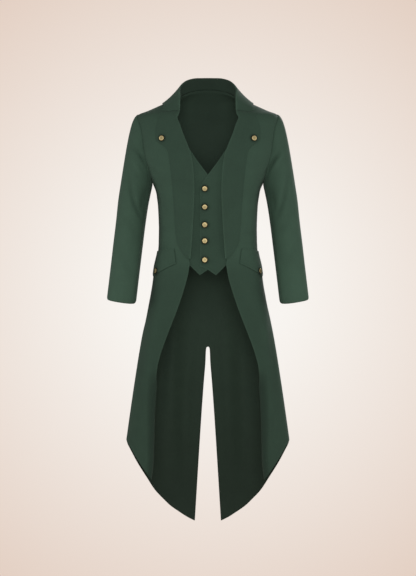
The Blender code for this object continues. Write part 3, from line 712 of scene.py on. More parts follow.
def front_edge_angle(z):
    """The front's near edge: it stops short under the roll of the revers, and the skirt's turns in."""
    rolled = step_between(z, ROLL_START, LAPEL_TOP) - step_between(z, *ROLL_RUNS_OUT)
    turned = step_between(z, TURN_START, TURN_FULL)
    return angle_at(FRONT_EDGE_X(z) + ROLL_WIDTH * rolled - TURN_REACH * turned, z)


def side_seam_angle(z):
    """The side seam, which runs back a little from the armpit."""
    return 90 + (SIDE_SEAM_ANGLE - 90) * step_between(z, ARMPIT, SIDE_SEAM_SETTLES)


def front_side_angle(z):
    """The front's far edge: the armhole, and the side seam below it."""
    return np.where(np.asarray(z) > ARMPIT, ARMHOLE_FRONT(z), side_seam_angle(z))


def back_side_angle(z):
    """The back's near edge: the armhole, and the side seam below it."""
    return np.where(np.asarray(z) > ARMPIT, ARMHOLE_BACK(z), side_seam_angle(z))


def vent_angle(z):
    """The edge of a back at the centre. It stays a hair off the centre, so that it keeps its side."""
    x = np.where(np.asarray(z) > VENT[0].z, 0, VENT_X(z))
    return angle_at(x + OFF_CENTRE, z, behind=True)


def front_neck_level(fraction):
    """The front's top edge is level."""
    return np.full_like(fraction, NECK_LEVEL)


def back_neck_level(fraction):
    """The back neckline rises from the shoulder seam to the centre back."""
    return NECK_LEVEL + (BACK_NECK_LEVEL - NECK_LEVEL) * np.sin(np.radians(90 * fraction))


def front_hem_rise(fraction):
    """The front's hem is highest at the cutaway."""
    return FRONT_HEM_RISE * (1 - fraction)


def back_hem_rise(fraction):
    """The back's hem follows the table."""
    return np.zeros_like(fraction)


def lining_neck_level(fraction):
    """The lining runs up over the foot of the collar's stand, but not yet at the shoulder seam."""
    return back_neck_level(fraction) + LINING_NECK_RISE * step_between(-fraction, 0, -LINING_RISE_SETTLES)


def lining_hem_rise(fraction):
    """The lining stops a little short of the back's hem."""
    return np.full_like(fraction, LINING_HEM_RISE)


Panel = namedtuple("Panel", "near_edge far_edge top hem_rise")
FRONT = Panel(front_edge_angle, front_side_angle, front_neck_level, front_hem_rise)
BACK = Panel(back_side_angle, vent_angle, back_neck_level, back_hem_rise)
BACK_LINING = Panel(back_side_angle, vent_angle, lining_neck_level, lining_hem_rise)


def edged(length, spacing):
    """Places along a length: close together at both ends, then a chosen spacing."""
    squeeze = min(1, length / (3 * EDGE_STEPS[-1]))
    start = EDGE_STEPS * squeeze
    count = max(2, round((length - 2 * start[-1]) / spacing))
    middle = np.linspace(start[-1], length - start[-1], count + 1)[1:-1]
    return np.concatenate([start, middle, length - start[::-1]])


def arc_lengths(points, axis):
    """Distance along grid lines from their first point."""
    steps = np.linalg.norm(np.diff(points, axis=axis), axis=-1)
    start = np.zeros_like(np.take(steps, [0], axis=axis))
    return np.concatenate([start, np.cumsum(steps, axis=axis)], axis=axis)


def panel_grid(panel, spacing):
    """Angles and heights of a torso panel, row by row, with its columns set out by distance across."""
    across = np.linspace(0, 1, PANEL_SAMPLES)

    def angle_of(z, fraction):
        near, far = panel.near_edge(z), panel.far_edge(z)
        return near + (far - near) * fraction

    start = panel.top(across)
    end = np.full_like(across, HEM_GUESS)
    for _ in range(HEM_TRIES):
        x = np.abs(torso(angle_of(end, across), end)[:, 0])
        end = (end + HEM_Z(x) + panel.hem_rise(across)) / 2
    last = EDGE_STEPS[-1]
    down = np.linspace(0, 1, 2 + round(2 * (NECK_LEVEL - SHOULDER_END) / spacing))[1:, None]
    body = np.arange(SHOULDER_END, SKIRT_LEVEL, -spacing)[1:]
    near_vent = (body < VENT_ROWS[0] + VENT_ROW_GAP) & (body > VENT_ROWS[-1] - VENT_ROW_GAP)
    body = np.sort(np.concatenate([body[~near_vent], VENT_ROWS]))[::-1, None]
    fall = np.linspace(0, 1, 2 + round((SKIRT_LEVEL - HEM_GUESS) / spacing))[:, None]
    z = np.concatenate([
        start - EDGE_STEPS[:, None],
        start - last + (SHOULDER_END - start + last) * down,
        body + 0 * across,
        SKIRT_LEVEL + (end + last - SKIRT_LEVEL) * fall,
        end + EDGE_STEPS[::-1][1:, None],
    ])
    length = arc_lengths(torso(angle_of(z, across), z), axis=1)
    share = edged(NOMINAL_WIDTH, NOMINAL_WIDTH * spacing / length[:, -1].max())
    inner = share[len(EDGE_STEPS) - 1:-len(EDGE_STEPS) + 1]
    inner = ((inner - inner[0]) / (inner[-1] - inner[0]))[1:-1]
    angles, heights = [], []
    for row_z, row_length in zip(z, length):
        width = row_length[-1]
        edge = EDGE_STEPS * min(1, width / (3 * last))
        places = np.concatenate([edge, edge[-1] + (width - 2 * edge[-1]) * inner, width - edge[::-1]])
        fraction = np.interp(places, row_length, across)
        row = np.interp(fraction, across, row_z)
        heights.append(row)
        angles.append(angle_of(row, fraction))
    return np.array(angles), np.array(heights)


def grid_normals(points, wrap=False):
    """Outward normals of a grid whose columns run to the right and rows run down."""
    if wrap:
        across = np.roll(points, -1, axis=1) - np.roll(points, 1, axis=1)
    else:
        across = np.gradient(points, axis=1)
    down = np.gradient(points, axis=0)
    return unit(np.cross(down, across))


MIRRORED_SIDES = {"left": "right", "right": "left", "top": "top", "bottom": "bottom"}


def edge_distances(middle):
    """How far each point of a grid lies from each of its four sides."""
    across, down = arc_lengths(middle, axis=1), arc_lengths(middle, axis=0)
    return {
        "left": across,
        "right": across[:, -1:] - across,
        "top": down,
        "bottom": down[-1:] - down,
    }


def shell_faces(rows, columns):
    """Faces of a closed shell: an outer grid and an inner one that share the points of their rim."""
    outside = np.arange(rows * columns).reshape(rows, columns)
    inside = outside.copy()
    inner_count = (rows - 2) * (columns - 2)
    inside[1:-1, 1:-1] = rows * columns + np.arange(inner_count).reshape(rows - 2, columns - 2)

    def quads(grid):
        first, down = grid[:-1, :-1], grid[1:, :-1]
        across, right = grid[1:, 1:], grid[:-1, 1:]
        return first, down, across, right

    first, down, across, right = quads(outside)
    outer = np.stack([first, down, across, right], axis=-1).reshape(-1, 4)
    first, down, across, right = quads(inside)
    inner = np.stack([first, right, across, down], axis=-1).reshape(-1, 4)
    return outer, inner


def set_vertex_values(mesh, name, values):
    """Stores a value for each vertex, which a material reads by its name."""
    attribute = mesh.attributes.new(name, "FLOAT", "POINT")
    attribute.data.foreach_set("value", np.asarray(values, np.float32).ravel())


def add_mesh(name, points, faces, uv, looks, face_looks=None):
    """A mesh object in metres, with its cloth coordinates in the map called cloth."""
    mesh = bpy.data.meshes.new(name)
    mesh.from_pydata((np.asarray(points) * MM).tolist(), [], faces)
    if uv is not None:
        corners = np.empty(len(mesh.loops), np.int32)
        mesh.loops.foreach_get("vertex_index", corners)
        layer = mesh.uv_layers.new(name="cloth")
        layer.data.foreach_set("uv", (np.asarray(uv) * MM)[corners].astype(np.float32).ravel())
    for look in looks:
        mesh.materials.append(look)
    if face_looks is not None:
        mesh.polygons.foreach_set("material_index", np.asarray(face_looks, np.int32))
    mesh.shade_smooth()
    obj = bpy.data.objects.new(name, mesh)
    bpy.context.scene.collection.objects.link(obj)
    return obj


def lapped(middle, side, amount):
    """Carries one side of a grid a little past its seam, so that no light shows through it."""
    grid = middle if side == "right" else middle[:, ::-1]
    length = arc_lengths(grid, axis=1)
    from_edge = length[:, -1:] - length
    way = unit(grid[:, -1] - grid[:, -len(EDGE_STEPS)])
    moved = grid + way[:, None] * (np.asarray(amount) * np.exp(-from_edge / LAP_FADES))[..., None]
    return moved if side == "right" else moved[:, ::-1]


def armhole_lap(middle):
    """How far a panel runs past its seam at each row: further where it lies inside the sleeve."""
    z = middle[:, -1:, 2]
    inside = step_between(z, *ARMHOLE_LAP_STARTS) - step_between(z, *ARMHOLE_LAP_ENDS)
    return SEAM_LAP + (ARMHOLE_LAP - SEAM_LAP) * inside


def centre_lap(middle):
    """How far a back runs past the centre: only above the vent."""
    return SEAM_LAP * (1 - step_between(middle[:, -1:, 2], VENT[0].z + VENT_SETTLES, VENT[0].z))


def clear_piece(name):
    """Removes an earlier make of a piece, so that its operator can be run again."""
    old = bpy.data.objects.get(name)
    if old is not None and "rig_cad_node" not in old:
        bpy.data.objects.remove(old, do_unlink=True)


def add_cloth(
    name, middle, thickness, looks, tone, seams=(), stitches=(), edges=(), turned_in=0, wear=1, facing=0
):
    """A closed wall of cloth round a grid of middle points, sunk at its seams and rounded at its rim.

    seams are the sides that are sewn, stitches are sides with the distance of a row of stitches from
    them, and edges are sides with how much painted shade darkens them; seams and stitches get painted
    shade too. The tone and its multiplier are painted light and shade. facing gives the look of each face
    outside.
    """
    clear_piece(name)
    reach = edge_distances(middle)
    nearest = np.minimum.reduce(list(reach.values()))
    normals = grid_normals(middle)
    half = thickness / 2
    roundness = np.sqrt(1 - (1 - np.clip(nearest / half, 0, 1)) ** 2)
    sunk = np.zeros(middle.shape[:2])
    shade = np.zeros(middle.shape[:2])
    # Painted shade along seams, stitch rows and the given edges, beside the real sinking of seams and
    # stitches.
    for side in seams:
        sunk = np.maximum(sunk, SEAM_DEPTH * np.exp(-((reach[side] / SEAM_WIDTH) ** 2)))
        shade = np.maximum(shade, SEAM_SHADE * np.exp(-((reach[side] / SHADE_WIDTH) ** 2)))
    for side, inset in stitches:
        near = np.exp(-(((reach[side] - inset) / STITCH_WIDTH) ** 2))
        sunk = np.maximum(sunk, HEM_STITCH_DEPTH * near)
        shade = np.maximum(shade, STITCH_SHADE * near)
    for side, amount in edges:
        shade = np.maximum(shade, amount * np.exp(-((reach[side] / SHADE_WIDTH) ** 2)))
    middle = middle - normals * (sunk + turned_in)[..., None]
    bulge = normals * (half * roundness)[..., None]
    outer, inner = middle + bulge, middle - bulge
    rows, columns = middle.shape[:2]
    outer_faces, inner_faces = shell_faces(rows, columns)
    points = np.concatenate([outer.reshape(-1, 3), inner[1:-1, 1:-1].reshape(-1, 3)])
    centre = arc_lengths(middle, axis=1)
    uv = np.stack([centre - centre[:, -1:] / 2, -arc_lengths(middle, axis=0)], axis=-1)
    facing = np.broadcast_to(facing, (rows - 1, columns - 1)).ravel()
    face_looks = np.concatenate([facing, np.full(len(inner_faces), len(looks) - 1)])
    faces = np.concatenate([outer_faces, inner_faces]).tolist()
    obj = add_mesh(name, points, faces, both_walls(uv), looks, face_looks)
    set_vertex_values(obj.data, "seam", both_walls(shade))
    # The tone is painted light and shade: by height, times that along folds, rolls and edges and round
    # the buttons.
    levels, values = zip(*sorted(tone))
    painted_tone = np.interp(points[:, 2], levels, values)
    painted_shading_and_tarnish = both_walls(np.broadcast_to(wear, shade.shape)) * button_shade(points)
    set_vertex_values(obj.data, "tone", painted_tone * painted_shading_and_tarnish)
    return obj


def button_spots():
    """The name of each button, its place on the cloth and the way it faces."""
    cloth = bpy.context.scene.tailcoat_cloth
    wall, flap = cloth.thickness / MM, cloth.collar_thickness / MM
    on_waistcoat = LAID_ON_GAP - UNDER_GAP
    on_lapel = 2 * wall + LAID_ON_GAP + BUTTON_GAP
    on_flap = wall + LAID_ON_GAP + flap + BUTTON_GAP
    spots = []
    for number, z in enumerate(WAISTCOAT_BUTTON_LEVELS, start=1):
        spots.append((f"waistcoat_button_{number}", angle_at(WAISTCOAT_BUTTON_X, z), z, on_waistcoat))
    lapel_angle = angle_at(LAPEL_BUTTON_X, LAPEL_BUTTON_LEVEL)
    for side, sign in (("left", 1), ("right", -1)):
        spots.append((f"lapel_button_{side}", sign * lapel_angle, LAPEL_BUTTON_LEVEL, on_lapel))
        spots.append((f"flap_button_{side}", sign * FLAP_BUTTON_ANGLE, FLAP_BUTTON_LEVEL, on_flap))
    return [(name, dressed(angle, z, lift), torso_normal(angle, z)) for name, angle, z, lift in spots]


def button_shade(points):
    """Painted shadow on the cloth close round the buttons."""
    places = np.array([place for name, place, out in button_spots()])
    apart = np.linalg.norm(points[:, None] - places, axis=2).min(axis=1)
    return 1 - BUTTON_SHADE * np.exp(-((apart / BUTTON_SHADE_REACH) ** 4))


def both_walls(grid):
    """Values for the points of a wall: its outer grid, then its inner one without the shared rim."""
    flat = grid.shape[2:]
    return np.concatenate([grid.reshape(-1, *flat), grid[1:-1, 1:-1].reshape(-1, *flat)])


def finish_piece(obj, node):
    """Makes a piece ride on the one body and hides the node it stands for."""
    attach(obj, "root")
    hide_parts(node)


def turned_round(value):
    """The same values for a grid whose columns run the other way."""
    return value[:, ::-1] if isinstance(value, np.ndarray) else value


def add_cloth_pair(name, shape, thickness, looks, tone, slot="coat_cloth", **finish):
    """A left piece and a right one.

    The shape is told 1 for the left and -1 for the right, and its columns run as on the left.
    """
    for side, sign in (("left", 1), ("right", -1)):
        middle, own = shape(sign)
        own.update(finish)
        if sign < 0:
            middle = middle[:, ::-1]
            for key in ("seams", "stitches", "edges"):
                own[key] = [swap_side(entry) for entry in own.get(key, ())]
            for key in ("turned_in", "wear"):
                if key in own:
                    own[key] = turned_round(own[key])
        obj = add_cloth(f"{name}_{side}_cloth", middle, thickness, looks, tone, **own)
        finish_piece(obj, f"{name}_{side}")


def swap_side(entry):
    """A seam, or a stitch or edge with its value, for the mirrored piece."""
    if isinstance(entry, str):
        return MIRRORED_SIDES[entry]
    side, value = entry
    return MIRRORED_SIDES[side], turned_round(value)


def crease_painted_shade(angle, z):
    """Painted shade in the troughs of the torso's folds, and painted light on their ridges."""
    return 1 + CREASE_SHADE * fold_lift(torso(angle, z), TORSO_SPINES)


def painted_light_along(distance, amount, width):
    """Painted light along a line on the cloth, by the distance from it."""
    return 1 + amount * np.exp(-((distance / width) ** 2))


def lapel_section(z):
    """Middle line of the revers at a height, as distances from the centre and lifts off the torso."""
    cloth = bpy.context.scene.tailcoat_cloth.thickness / MM
    roll_x = float(FRONT_EDGE_X(z))
    reach = float(LAPEL_EDGE_X(z)) - roll_x
    radius = ROLL_RADIUS * min(1, max(NARROW_ROLL, reach / NARROW_REACH))
    flat = cloth + LAID_ON_GAP + cloth / 2
    low, high = cloth / 2, cloth / 2 + 2 * radius
    root = roll_x + ROLL_WIDTH - 2 * SEAM_GAP
    start = roll_x + radius
    under = root + (start - root) * UNDER_SHARES
    turn = np.radians(np.linspace(-90, 90, ROLL_STEPS))
    roll = start - radius * np.cos(turn)
    share = np.linspace(0, 1, 2 + LEAF_STEPS)[1:-1]
    tail = reach - radius - EDGE_STEPS[::-1] * min(1, (reach - radius) / (3 * EDGE_STEPS[-1]))
    across = np.concatenate([share * tail[0], tail])
    settled = step_between(-across, 0, -ROLL_SETTLES)
    x = np.concatenate([under, roll, start + across])
    lift = np.concatenate([
        np.full(len(under), low),
        low + radius + radius * np.sin(turn),
        high + (flat - high) * settled,
    ])
    return x, lift


def lapel_grid(levels, sign=1):
    """The middle of the revers at each level, with the angle and height of each of its points."""
    sections = [lapel_section(z) for z in levels]
    x = np.array([section[0] for section in sections])
    lift = np.array([section[1] for section in sections])
    z = np.asarray(levels, float)[:, None] + 0 * x
    angle = sign * angle_at(x, z)
    return dressed(angle, z, lift), angle, z


def neck_height(angle):
    """Height of the neckline at an angle, round the back neck or down the front edge."""
    if angle >= 90:
        return float(back_neck_level(np.array((angle - 90) / 90)))
    z = np.linspace(LAPEL_TOP - 10, NECK_LEVEL, NECK_SAMPLES)
    return float(np.interp(angle, front_edge_angle(z), z))


def fold_section(neck, fold, edge, edge_normal):
    """Middle line of the collar at one station: up the stand, over the fold and down the leaf."""
    leaf_way = neck + (edge - neck) * LEAF_SHARE
    up = unit(fold - leaf_way)
    across = edge - neck
    out = unit(across - up * np.dot(across, up))
    crown = fold - up * FOLD_RADIUS
    stand_top = crown - out * FOLD_RADIUS
    section = [neck + (stand_top - neck) * t for t in UNDER_SHARES]
    for turn in np.radians(np.linspace(-90, 90, ROLL_STEPS)):
        section.append(crown + (out * math.sin(turn) + up * math.cos(turn)) * FOLD_RADIUS)
    start = section[-1]
    reach = np.linalg.norm(edge - start)
    flat = np.cross(edge_normal, np.cross(start - edge, edge_normal))
    settle = edge + unit(flat) * reach * LEAF_SETTLE
    tail = 1 - EDGE_STEPS[::-1] * min(1, reach / (3 * EDGE_STEPS[-1])) / reach
    share = np.linspace(0, 1, 2 + LEAF_STEPS)[1:-1] * tail[0]
    for t in np.concatenate([share, tail]):
        bend = start * (1 - t) ** 2 + 2 * settle * t * (1 - t) + edge * t * t
        chord = start + (edge - start) * t
        section.append(chord + (bend - chord) * LEAF_ROUNDNESS)
    return np.array(section)


def through_stations(sections):
    """Sections between those given, on smooth curves through them, crowded at both ends."""
    length = arc_lengths(sections, axis=0).mean(axis=1)
    slopes = np.gradient(sections, length, axis=0)
    places = edged(length[-1], FINE_SPACING)
    i = np.clip(np.searchsorted(length, places) - 1, 0, len(length) - 2)
    step = (length[i + 1] - length[i])[:, None, None]
    t = ((places - length[i]) / (length[i + 1] - length[i]))[:, None, None]
    rise = sections[i] * (1 + 2 * t) * (1 - t) ** 2 + sections[i + 1] * t * t * (3 - 2 * t)
    bend = slopes[i] * t * (1 - t) ** 2 - slopes[i + 1] * t * t * (1 - t)
    return rise + step * bend


def collar_sections():
    """Sections of the collar's middle, from the left gorge seam round the neck to the right one."""
    curves = {name: column(COLLAR, name, by="neck_angle") for name in CollarStation._fields[1:]}
    thickness = bpy.context.scene.tailcoat_cloth.collar_thickness / MM
    down_front = [float(front_edge_angle(z)) for z in COLLAR_FRONT_LEVELS]
    round_back = [90 + 90 * k / COLLAR_BACK_STATIONS for k in range(COLLAR_BACK_STATIONS + 1)]
    angles = down_front + [(down_front[-1] + 90) / 2] + round_back
    sections = [lapel_grid([GORGE_LEVEL])[0][0]]
    for angle in angles:
        at = {name: float(curve(angle)) for name, curve in curves.items()}
        neck_z = neck_height(angle)
        neck_out = torso_normal(angle, neck_z)
        neck = torso(angle, neck_z) + neck_out * at["foot_lift"]
        fold = np.array([at["fold_x"], at["fold_y"], at["fold_z"]])
        off_edge = fold - neck
        off_edge -= neck_out * np.dot(off_edge, neck_out)
        neck = neck + unit(off_edge) * (thickness / 2 + STAND_GAP)
        edge_out = torso_normal(at["edge_angle"], at["edge_z"])
        edge = torso(at["edge_angle"], at["edge_z"]) + edge_out * at["edge_lift"]
        sections.append(fold_section(neck, fold, edge, edge_out))
    left = np.array(sections)
    right = left[:-1] * np.array([-1, 1, 1])
    return np.concatenate([left, right[::-1]])


def stand_way(angle):
    """The way in which the collar's stand rises, at angles from the left shoulder to the centre back."""
    # Before the stations round the back come the gorge seam, the front levels and one between.
    first = len(COLLAR_FRONT_LEVELS) + 2
    back = collar_sections()[first:first + COLLAR_BACK_STATIONS + 1]
    ways = unit(back[:, len(UNDER_SHARES) - 1] - back[:, 0])
    stations = np.linspace(90, 180, COLLAR_BACK_STATIONS + 1)
    return np.stack([smooth_curve(stations, ways[:, axis])(angle) for axis in range(3)], axis=-1)


def lining_middle(angle, z, sign, thickness):
    """The middle of the back lining. Above the neckline it leaves the back and lies on the stand."""
    level = back_neck_level(angle / 90 - 1)
    above = np.clip(z - level, 0, None)
    collar = bpy.context.scene.tailcoat_cloth.collar_thickness / MM
    foot_lift = column(COLLAR, "foot_lift", by="neck_angle")(angle)
    inside_back = -LINING_GAP - thickness / 2
    inside_stand = foot_lift - (collar + thickness) / 2 - SEAM_GAP
    lift = inside_back + (inside_stand - inside_back) * step_between(-above, 0, -LINING_MEETS_STAND)
    rise = stand_way(angle) * np.array([sign, 1, 1])
    return dressed(sign * angle, np.minimum(z, level), lift) + rise * above[..., None]


def armhole_loop(turns):
    """The armhole's seam line by turn: 0 at the shoulder, 90 in front, 180 at the armpit, 270 behind."""
    cloth = bpy.context.scene.tailcoat_cloth.thickness / MM
    t = np.linspace(0, 1, ARMHOLE_SAMPLES)
    z = SHOULDER_END + (ARMPIT - SHOULDER_END) * (1 - np.cos(np.pi * t)) / 2
    # The first point is a hair lower, where the front's edge and the back's have parted.
    z[0] -= 0.01
    front = dressed(ARMHOLE_FRONT(z), z, cloth / 2)
    back = dressed(ARMHOLE_BACK(z), z, cloth / 2)

    def half_turn(half):
        length = arc_lengths(half, axis=0)
        return length / length[-1] * 180

    front_turn, back_turn = half_turn(front), half_turn(back)
    turn = np.concatenate([front_turn, 360 - back_turn[::-1][1:]])
    loop = np.concatenate([front, back[::-1][1:]])
    points = np.stack([np.interp(turns % 360, turn, loop[:, axis]) for axis in range(3)], axis=-1)
    seam_front = float(np.interp(-SLEEVE_SEAM_FRONT_LEVEL, -z, front_turn))
    seam_back = 360 - float(np.interp(-SLEEVE_SEAM_BACK_LEVEL, -z, back_turn))
    return points, seam_front, seam_back


def sleeve_ring(along, turns):
    """One ring of the sleeve, as far along it as told, with a point at each turn."""
    at = {name: float(curve(along)) for name, curve in SLEEVE_CURVES.items()}
    outer = np.array([at["outer_x"], 0, at["outer_z"]])
    inner = np.array([at["inner_x"], 0, at["inner_z"]])
    centre = (outer + inner) / 2 + np.array([0, at["centre_y"], 0])
    turn = np.radians(turns)[:, None]
    from_end = min(1, (1 - along) * SLEEVE_LENGTH / CUFF_ROUND)
    tuck = 1 - math.sqrt(1 - (1 - from_end) ** 2)
    across = (outer - inner) / 2
    outwards = unit(across)
    centre += outwards * tuck * (CUFF_INNER_TUCK - CUFF_OUTER_TUCK) / 2
    across -= outwards * tuck * (CUFF_INNER_TUCK + CUFF_OUTER_TUCK) / 2
    forward = np.array([0, tuck * CUFF_OUTER_TUCK - at["half_depth"], -CUFF_FRONT_DROP * along ** 2])
    return centre + across * np.cos(turn) + forward * np.sin(turn)


def sleeve_spines(points, front_folds, back_folds, turns):
    """The folds' spines laid on the sleeve: x and z from the table, and y from the cloth."""
    spines = []
    ahead = np.sin(np.radians(turns)) > 0
    for folds, facing in ((front_folds, ahead), (back_folds, ~ahead)):
        cloth = points[:, facing].reshape(-1, 3)
        for fold in folds:
            x, z = through_three(fold)
            apart = (cloth[:, 0][:, None] - x) ** 2 + (cloth[:, 2][:, None] - z) ** 2
            y = cloth[apart.argmin(axis=0), 1]
            padded = np.pad(y, SPINE_SMOOTHING // 2, mode="edge")
            y = np.convolve(padded, np.ones(SPINE_SMOOTHING) / SPINE_SMOOTHING, mode="valid")
            spines.append((np.stack([x, y, z], axis=-1), fold))
    return spines


def sleeve_surface(front_folds, back_folds):
    """Inner face of the left sleeve by ring and turn, with its normals, spines and two seams."""
    turns = np.arange(0, 360, SLEEVE_TURN_STEP)
    loop, seam_front, seam_back = armhole_loop(turns)
    first = sleeve_ring(0.0, turns)
    fall = unit(sleeve_ring(FALL_SAMPLE, turns) - first)
    reach = np.linalg.norm(first - loop, axis=1, keepdims=True)
    top = (1 + np.cos(np.radians(turns)))[:, None] / 2
    start_pull = CAP_WAY * (ARMPIT_REACH + (CAP_REACH - ARMPIT_REACH) * top)
    end_pull = -fall * reach * CAP_FALL
    rows = []
    early = EDGE_STEPS / reach.max()
    for t in np.concatenate([early, np.linspace(early[-1], 1, CAP_ROWS)[1:]]):
        row = loop * (1 - t) ** 3 + 3 * (loop + start_pull) * t * (1 - t) ** 2
        rows.append(row + 3 * (first + end_pull) * t * t * (1 - t) + first * t ** 3)
    places = edged(SLEEVE_LENGTH, SLEEVE_SPACING)
    for along in places[places > EDGE_STEPS[-1]] / SLEEVE_LENGTH:
        rows.append(sleeve_ring(along, turns))
    points = np.array(rows)
    normals = -grid_normals(points, wrap=True)
    spines = sleeve_spines(points, front_folds, back_folds, turns)
    lift = fold_lift(points, spines)
    lift = lift * step_between(-arc_lengths(points, axis=0), 0, -SLEEVE_FOLDS_START)
    return turns, points + normals * lift[..., None], normals, spines, (seam_front, seam_back)


def sleeve_part(turns, points, normals, start, end, thickness):
    """Middle of one sleeve piece, between its two seams, with its columns set out across it."""
    wrapped = np.concatenate([turns - 360, turns, turns + 360])
    whole = np.concatenate([points, points, points], axis=1)
    out = np.concatenate([normals, normals, normals], axis=1)
    inside = (wrapped >= start.min()) & (wrapped <= end.max())
    widest = arc_lengths(whole[:, inside], axis=1)[:, -1].max()
    share = edged(widest, SLEEVE_SPACING) / widest
    middle = np.empty((len(points), len(share), 3))
    for row in range(len(points)):
        wanted = start[row] + (end[row] - start[row]) * share
        for axis in range(3):
            inner = np.interp(wanted, wrapped, whole[row, :, axis])
            way = np.interp(wanted, wrapped, out[row, :, axis])
            middle[row, :, axis] = inner + way * thickness / 2
    middle = lapped(lapped(middle, "right", SEAM_LAP), "left", SEAM_LAP)
    return middle[:, ::-1]


def waistcoat_grid():
    """Places from the centre and heights of the left waistcoat front, with a column at each corner."""
    edge_x = column(WAISTCOAT_EDGE, "x")
    side_x = column(WAISTCOAT_SIDE, "x")
    lower_z = straight(WAISTCOAT_LOWER, "z", by="x")
    foot_width = WAISTCOAT_SIDE[-1].x - WAISTCOAT_LOWER[0].x
    corners = np.array([(row.x - WAISTCOAT_LOWER[0].x) / foot_width for row in WAISTCOAT_LOWER[1:-1]])
    across = np.union1d(np.linspace(0, 1, WAISTCOAT_SAMPLES), corners)
    foot_x = WAISTCOAT_LOWER[0].x + foot_width * across
    end = lower_z(foot_x)
    last = EDGE_STEPS[-1]
    upper = edged(WAISTCOAT_TOP - WAISTCOAT_LEVEL, WAISTCOAT_SPACING)
    upper = upper[upper < WAISTCOAT_TOP - WAISTCOAT_LEVEL - last]
    fall = np.linspace(0, 1, WAISTCOAT_LOWER_ROWS)[:, None]
    z = np.concatenate([
        (WAISTCOAT_TOP - upper)[:, None] + 0 * across,
        WAISTCOAT_LEVEL + (end + last - WAISTCOAT_LEVEL) * fall,
        end + EDGE_STEPS[::-1][1:, None],
    ])
    fractions = edged(100.0, 100.0 * WAISTCOAT_SPACING / WAISTCOAT_WIDTH) / 100
    clear = np.abs(fractions[:, None] - corners).min(axis=1) > CORNER_CLEARANCE
    corners = np.concatenate([corners, corners - CORNER_STEP, corners + CORNER_STEP])
    fractions = np.sort(np.concatenate([fractions[clear], corners]))
    z = np.stack([np.interp(fractions, across, row) for row in z])
    x = edge_x(z) + (side_x(z) - edge_x(z)) * fractions
    return x, z


def flap_grid():
    """Angles and heights of the left hip flap, between its top edge and its lower one."""
    stations = np.linspace(0, 1, len(FLAP))
    t = edged(FLAP_WIDTH, FLAP_SPACING) / FLAP_WIDTH
    v = (edged(FLAP_HEIGHT, FINE_SPACING) / FLAP_HEIGHT)[:, None]
    sides = {
        name: np.interp(t, stations, [getattr(row, name) for row in FLAP])
        for name in FlapColumn._fields
    }
    angle = sides["top_angle"] * (1 - v) + sides["lower_angle"] * v
    z = sides["top_z"] * (1 - v) + sides["lower_z"] * v
    return angle, z


def new_group(name, inputs, outputs):
    """A shader node group with the named sockets, and whether it is new and still empty."""
    tree = bpy.data.node_groups.get(name)
    if tree is not None:
        return tree, False
    tree = bpy.data.node_groups.new(name, "ShaderNodeTree")
    for socket, kind, value in inputs:
        made = tree.interface.new_socket(name=socket, in_out="INPUT", socket_type=kind)
        if value is not None:
            made.default_value = value
    for socket, kind in outputs:
        tree.interface.new_socket(name=socket, in_out="OUTPUT", socket_type=kind)
    return tree, True


def add_node(tree, kind, place, label=None, **settings):
    """A node at a place in the editor, with its label and settings."""
    node = tree.nodes.new(kind)
    node.location = place
    if label:
        node.label = label
    for name, value in settings.items():
        setattr(node, name, value)
    return node


def set_inputs(node, **values):
    """Sets inputs of a node by name, with underscores for spaces."""
    for name, value in values.items():
        node.inputs[name.replace("_", " ")].default_value = value
    return node


def add_math(tree, operation, place, first, second=None, third=None, label=None, clamp=False):
    """A math node whose inputs are numbers or other nodes' outputs. Returns its output."""
    node = add_node(tree, "ShaderNodeMath", place, label, operation=operation, use_clamp=clamp)
    for socket, value in zip(node.inputs, (first, second, third)):
        if value is None:
            continue
        if isinstance(value, (int, float)):
            socket.default_value = value
        else:
            tree.links.new(value, socket)
    return node.outputs[0]


def twill_group():
    """Slanting ribs of a twill weave, broken up by uneven yarn."""
    tree, new = new_group(
        "Twill weave",
        [
            ("Cloth", "NodeSocketVector", None),
            ("Ribs per metre", "NodeSocketFloat", 900.0),
            ("Unevenness", "NodeSocketFloat", 0.35),
        ],
        [("Height", "NodeSocketFloat")],
    )
    if not new:
        return tree
    source = add_node(tree, "NodeGroupInput", (-900, 0))
    target = add_node(tree, "NodeGroupOutput", (700, 0))
    parts = add_node(tree, "ShaderNodeSeparateXYZ", (-700, 100))
    tree.links.new(source.outputs["Cloth"], parts.inputs[0])
    slant = add_math(tree, "MULTIPLY", (-500, 60), parts.outputs["Y"], 0.62, label="slant of the twill")
    ribs = add_math(tree, "ADD", (-320, 120), parts.outputs["X"], slant)
    yarn = add_node(tree, "ShaderNodeTexNoise", (-500, -160), "uneven yarn")
    set_inputs(yarn, Scale=260.0, Detail=3.0)
    tree.links.new(source.outputs["Cloth"], yarn.inputs["Vector"])
    wobble = add_math(tree, "SUBTRACT", (-320, -120), yarn.outputs[0], 0.5)
    wobble = add_math(tree, "MULTIPLY", (-160, -120), wobble, source.outputs["Unevenness"])
    turns = add_math(tree, "MULTIPLY", (-160, 120), ribs, source.outputs["Ribs per metre"])
    turns = add_math(tree, "ADD", (0, 60), turns, wobble)
    phase = add_math(tree, "MULTIPLY", (160, 60), turns, 2 * math.pi)
    wave = add_math(tree, "SINE", (320, 60), phase)
    height = add_math(tree, "MULTIPLY_ADD", (480, 60), wave, 0.5, 0.5)
    tree.links.new(height, target.inputs["Height"])
    return tree


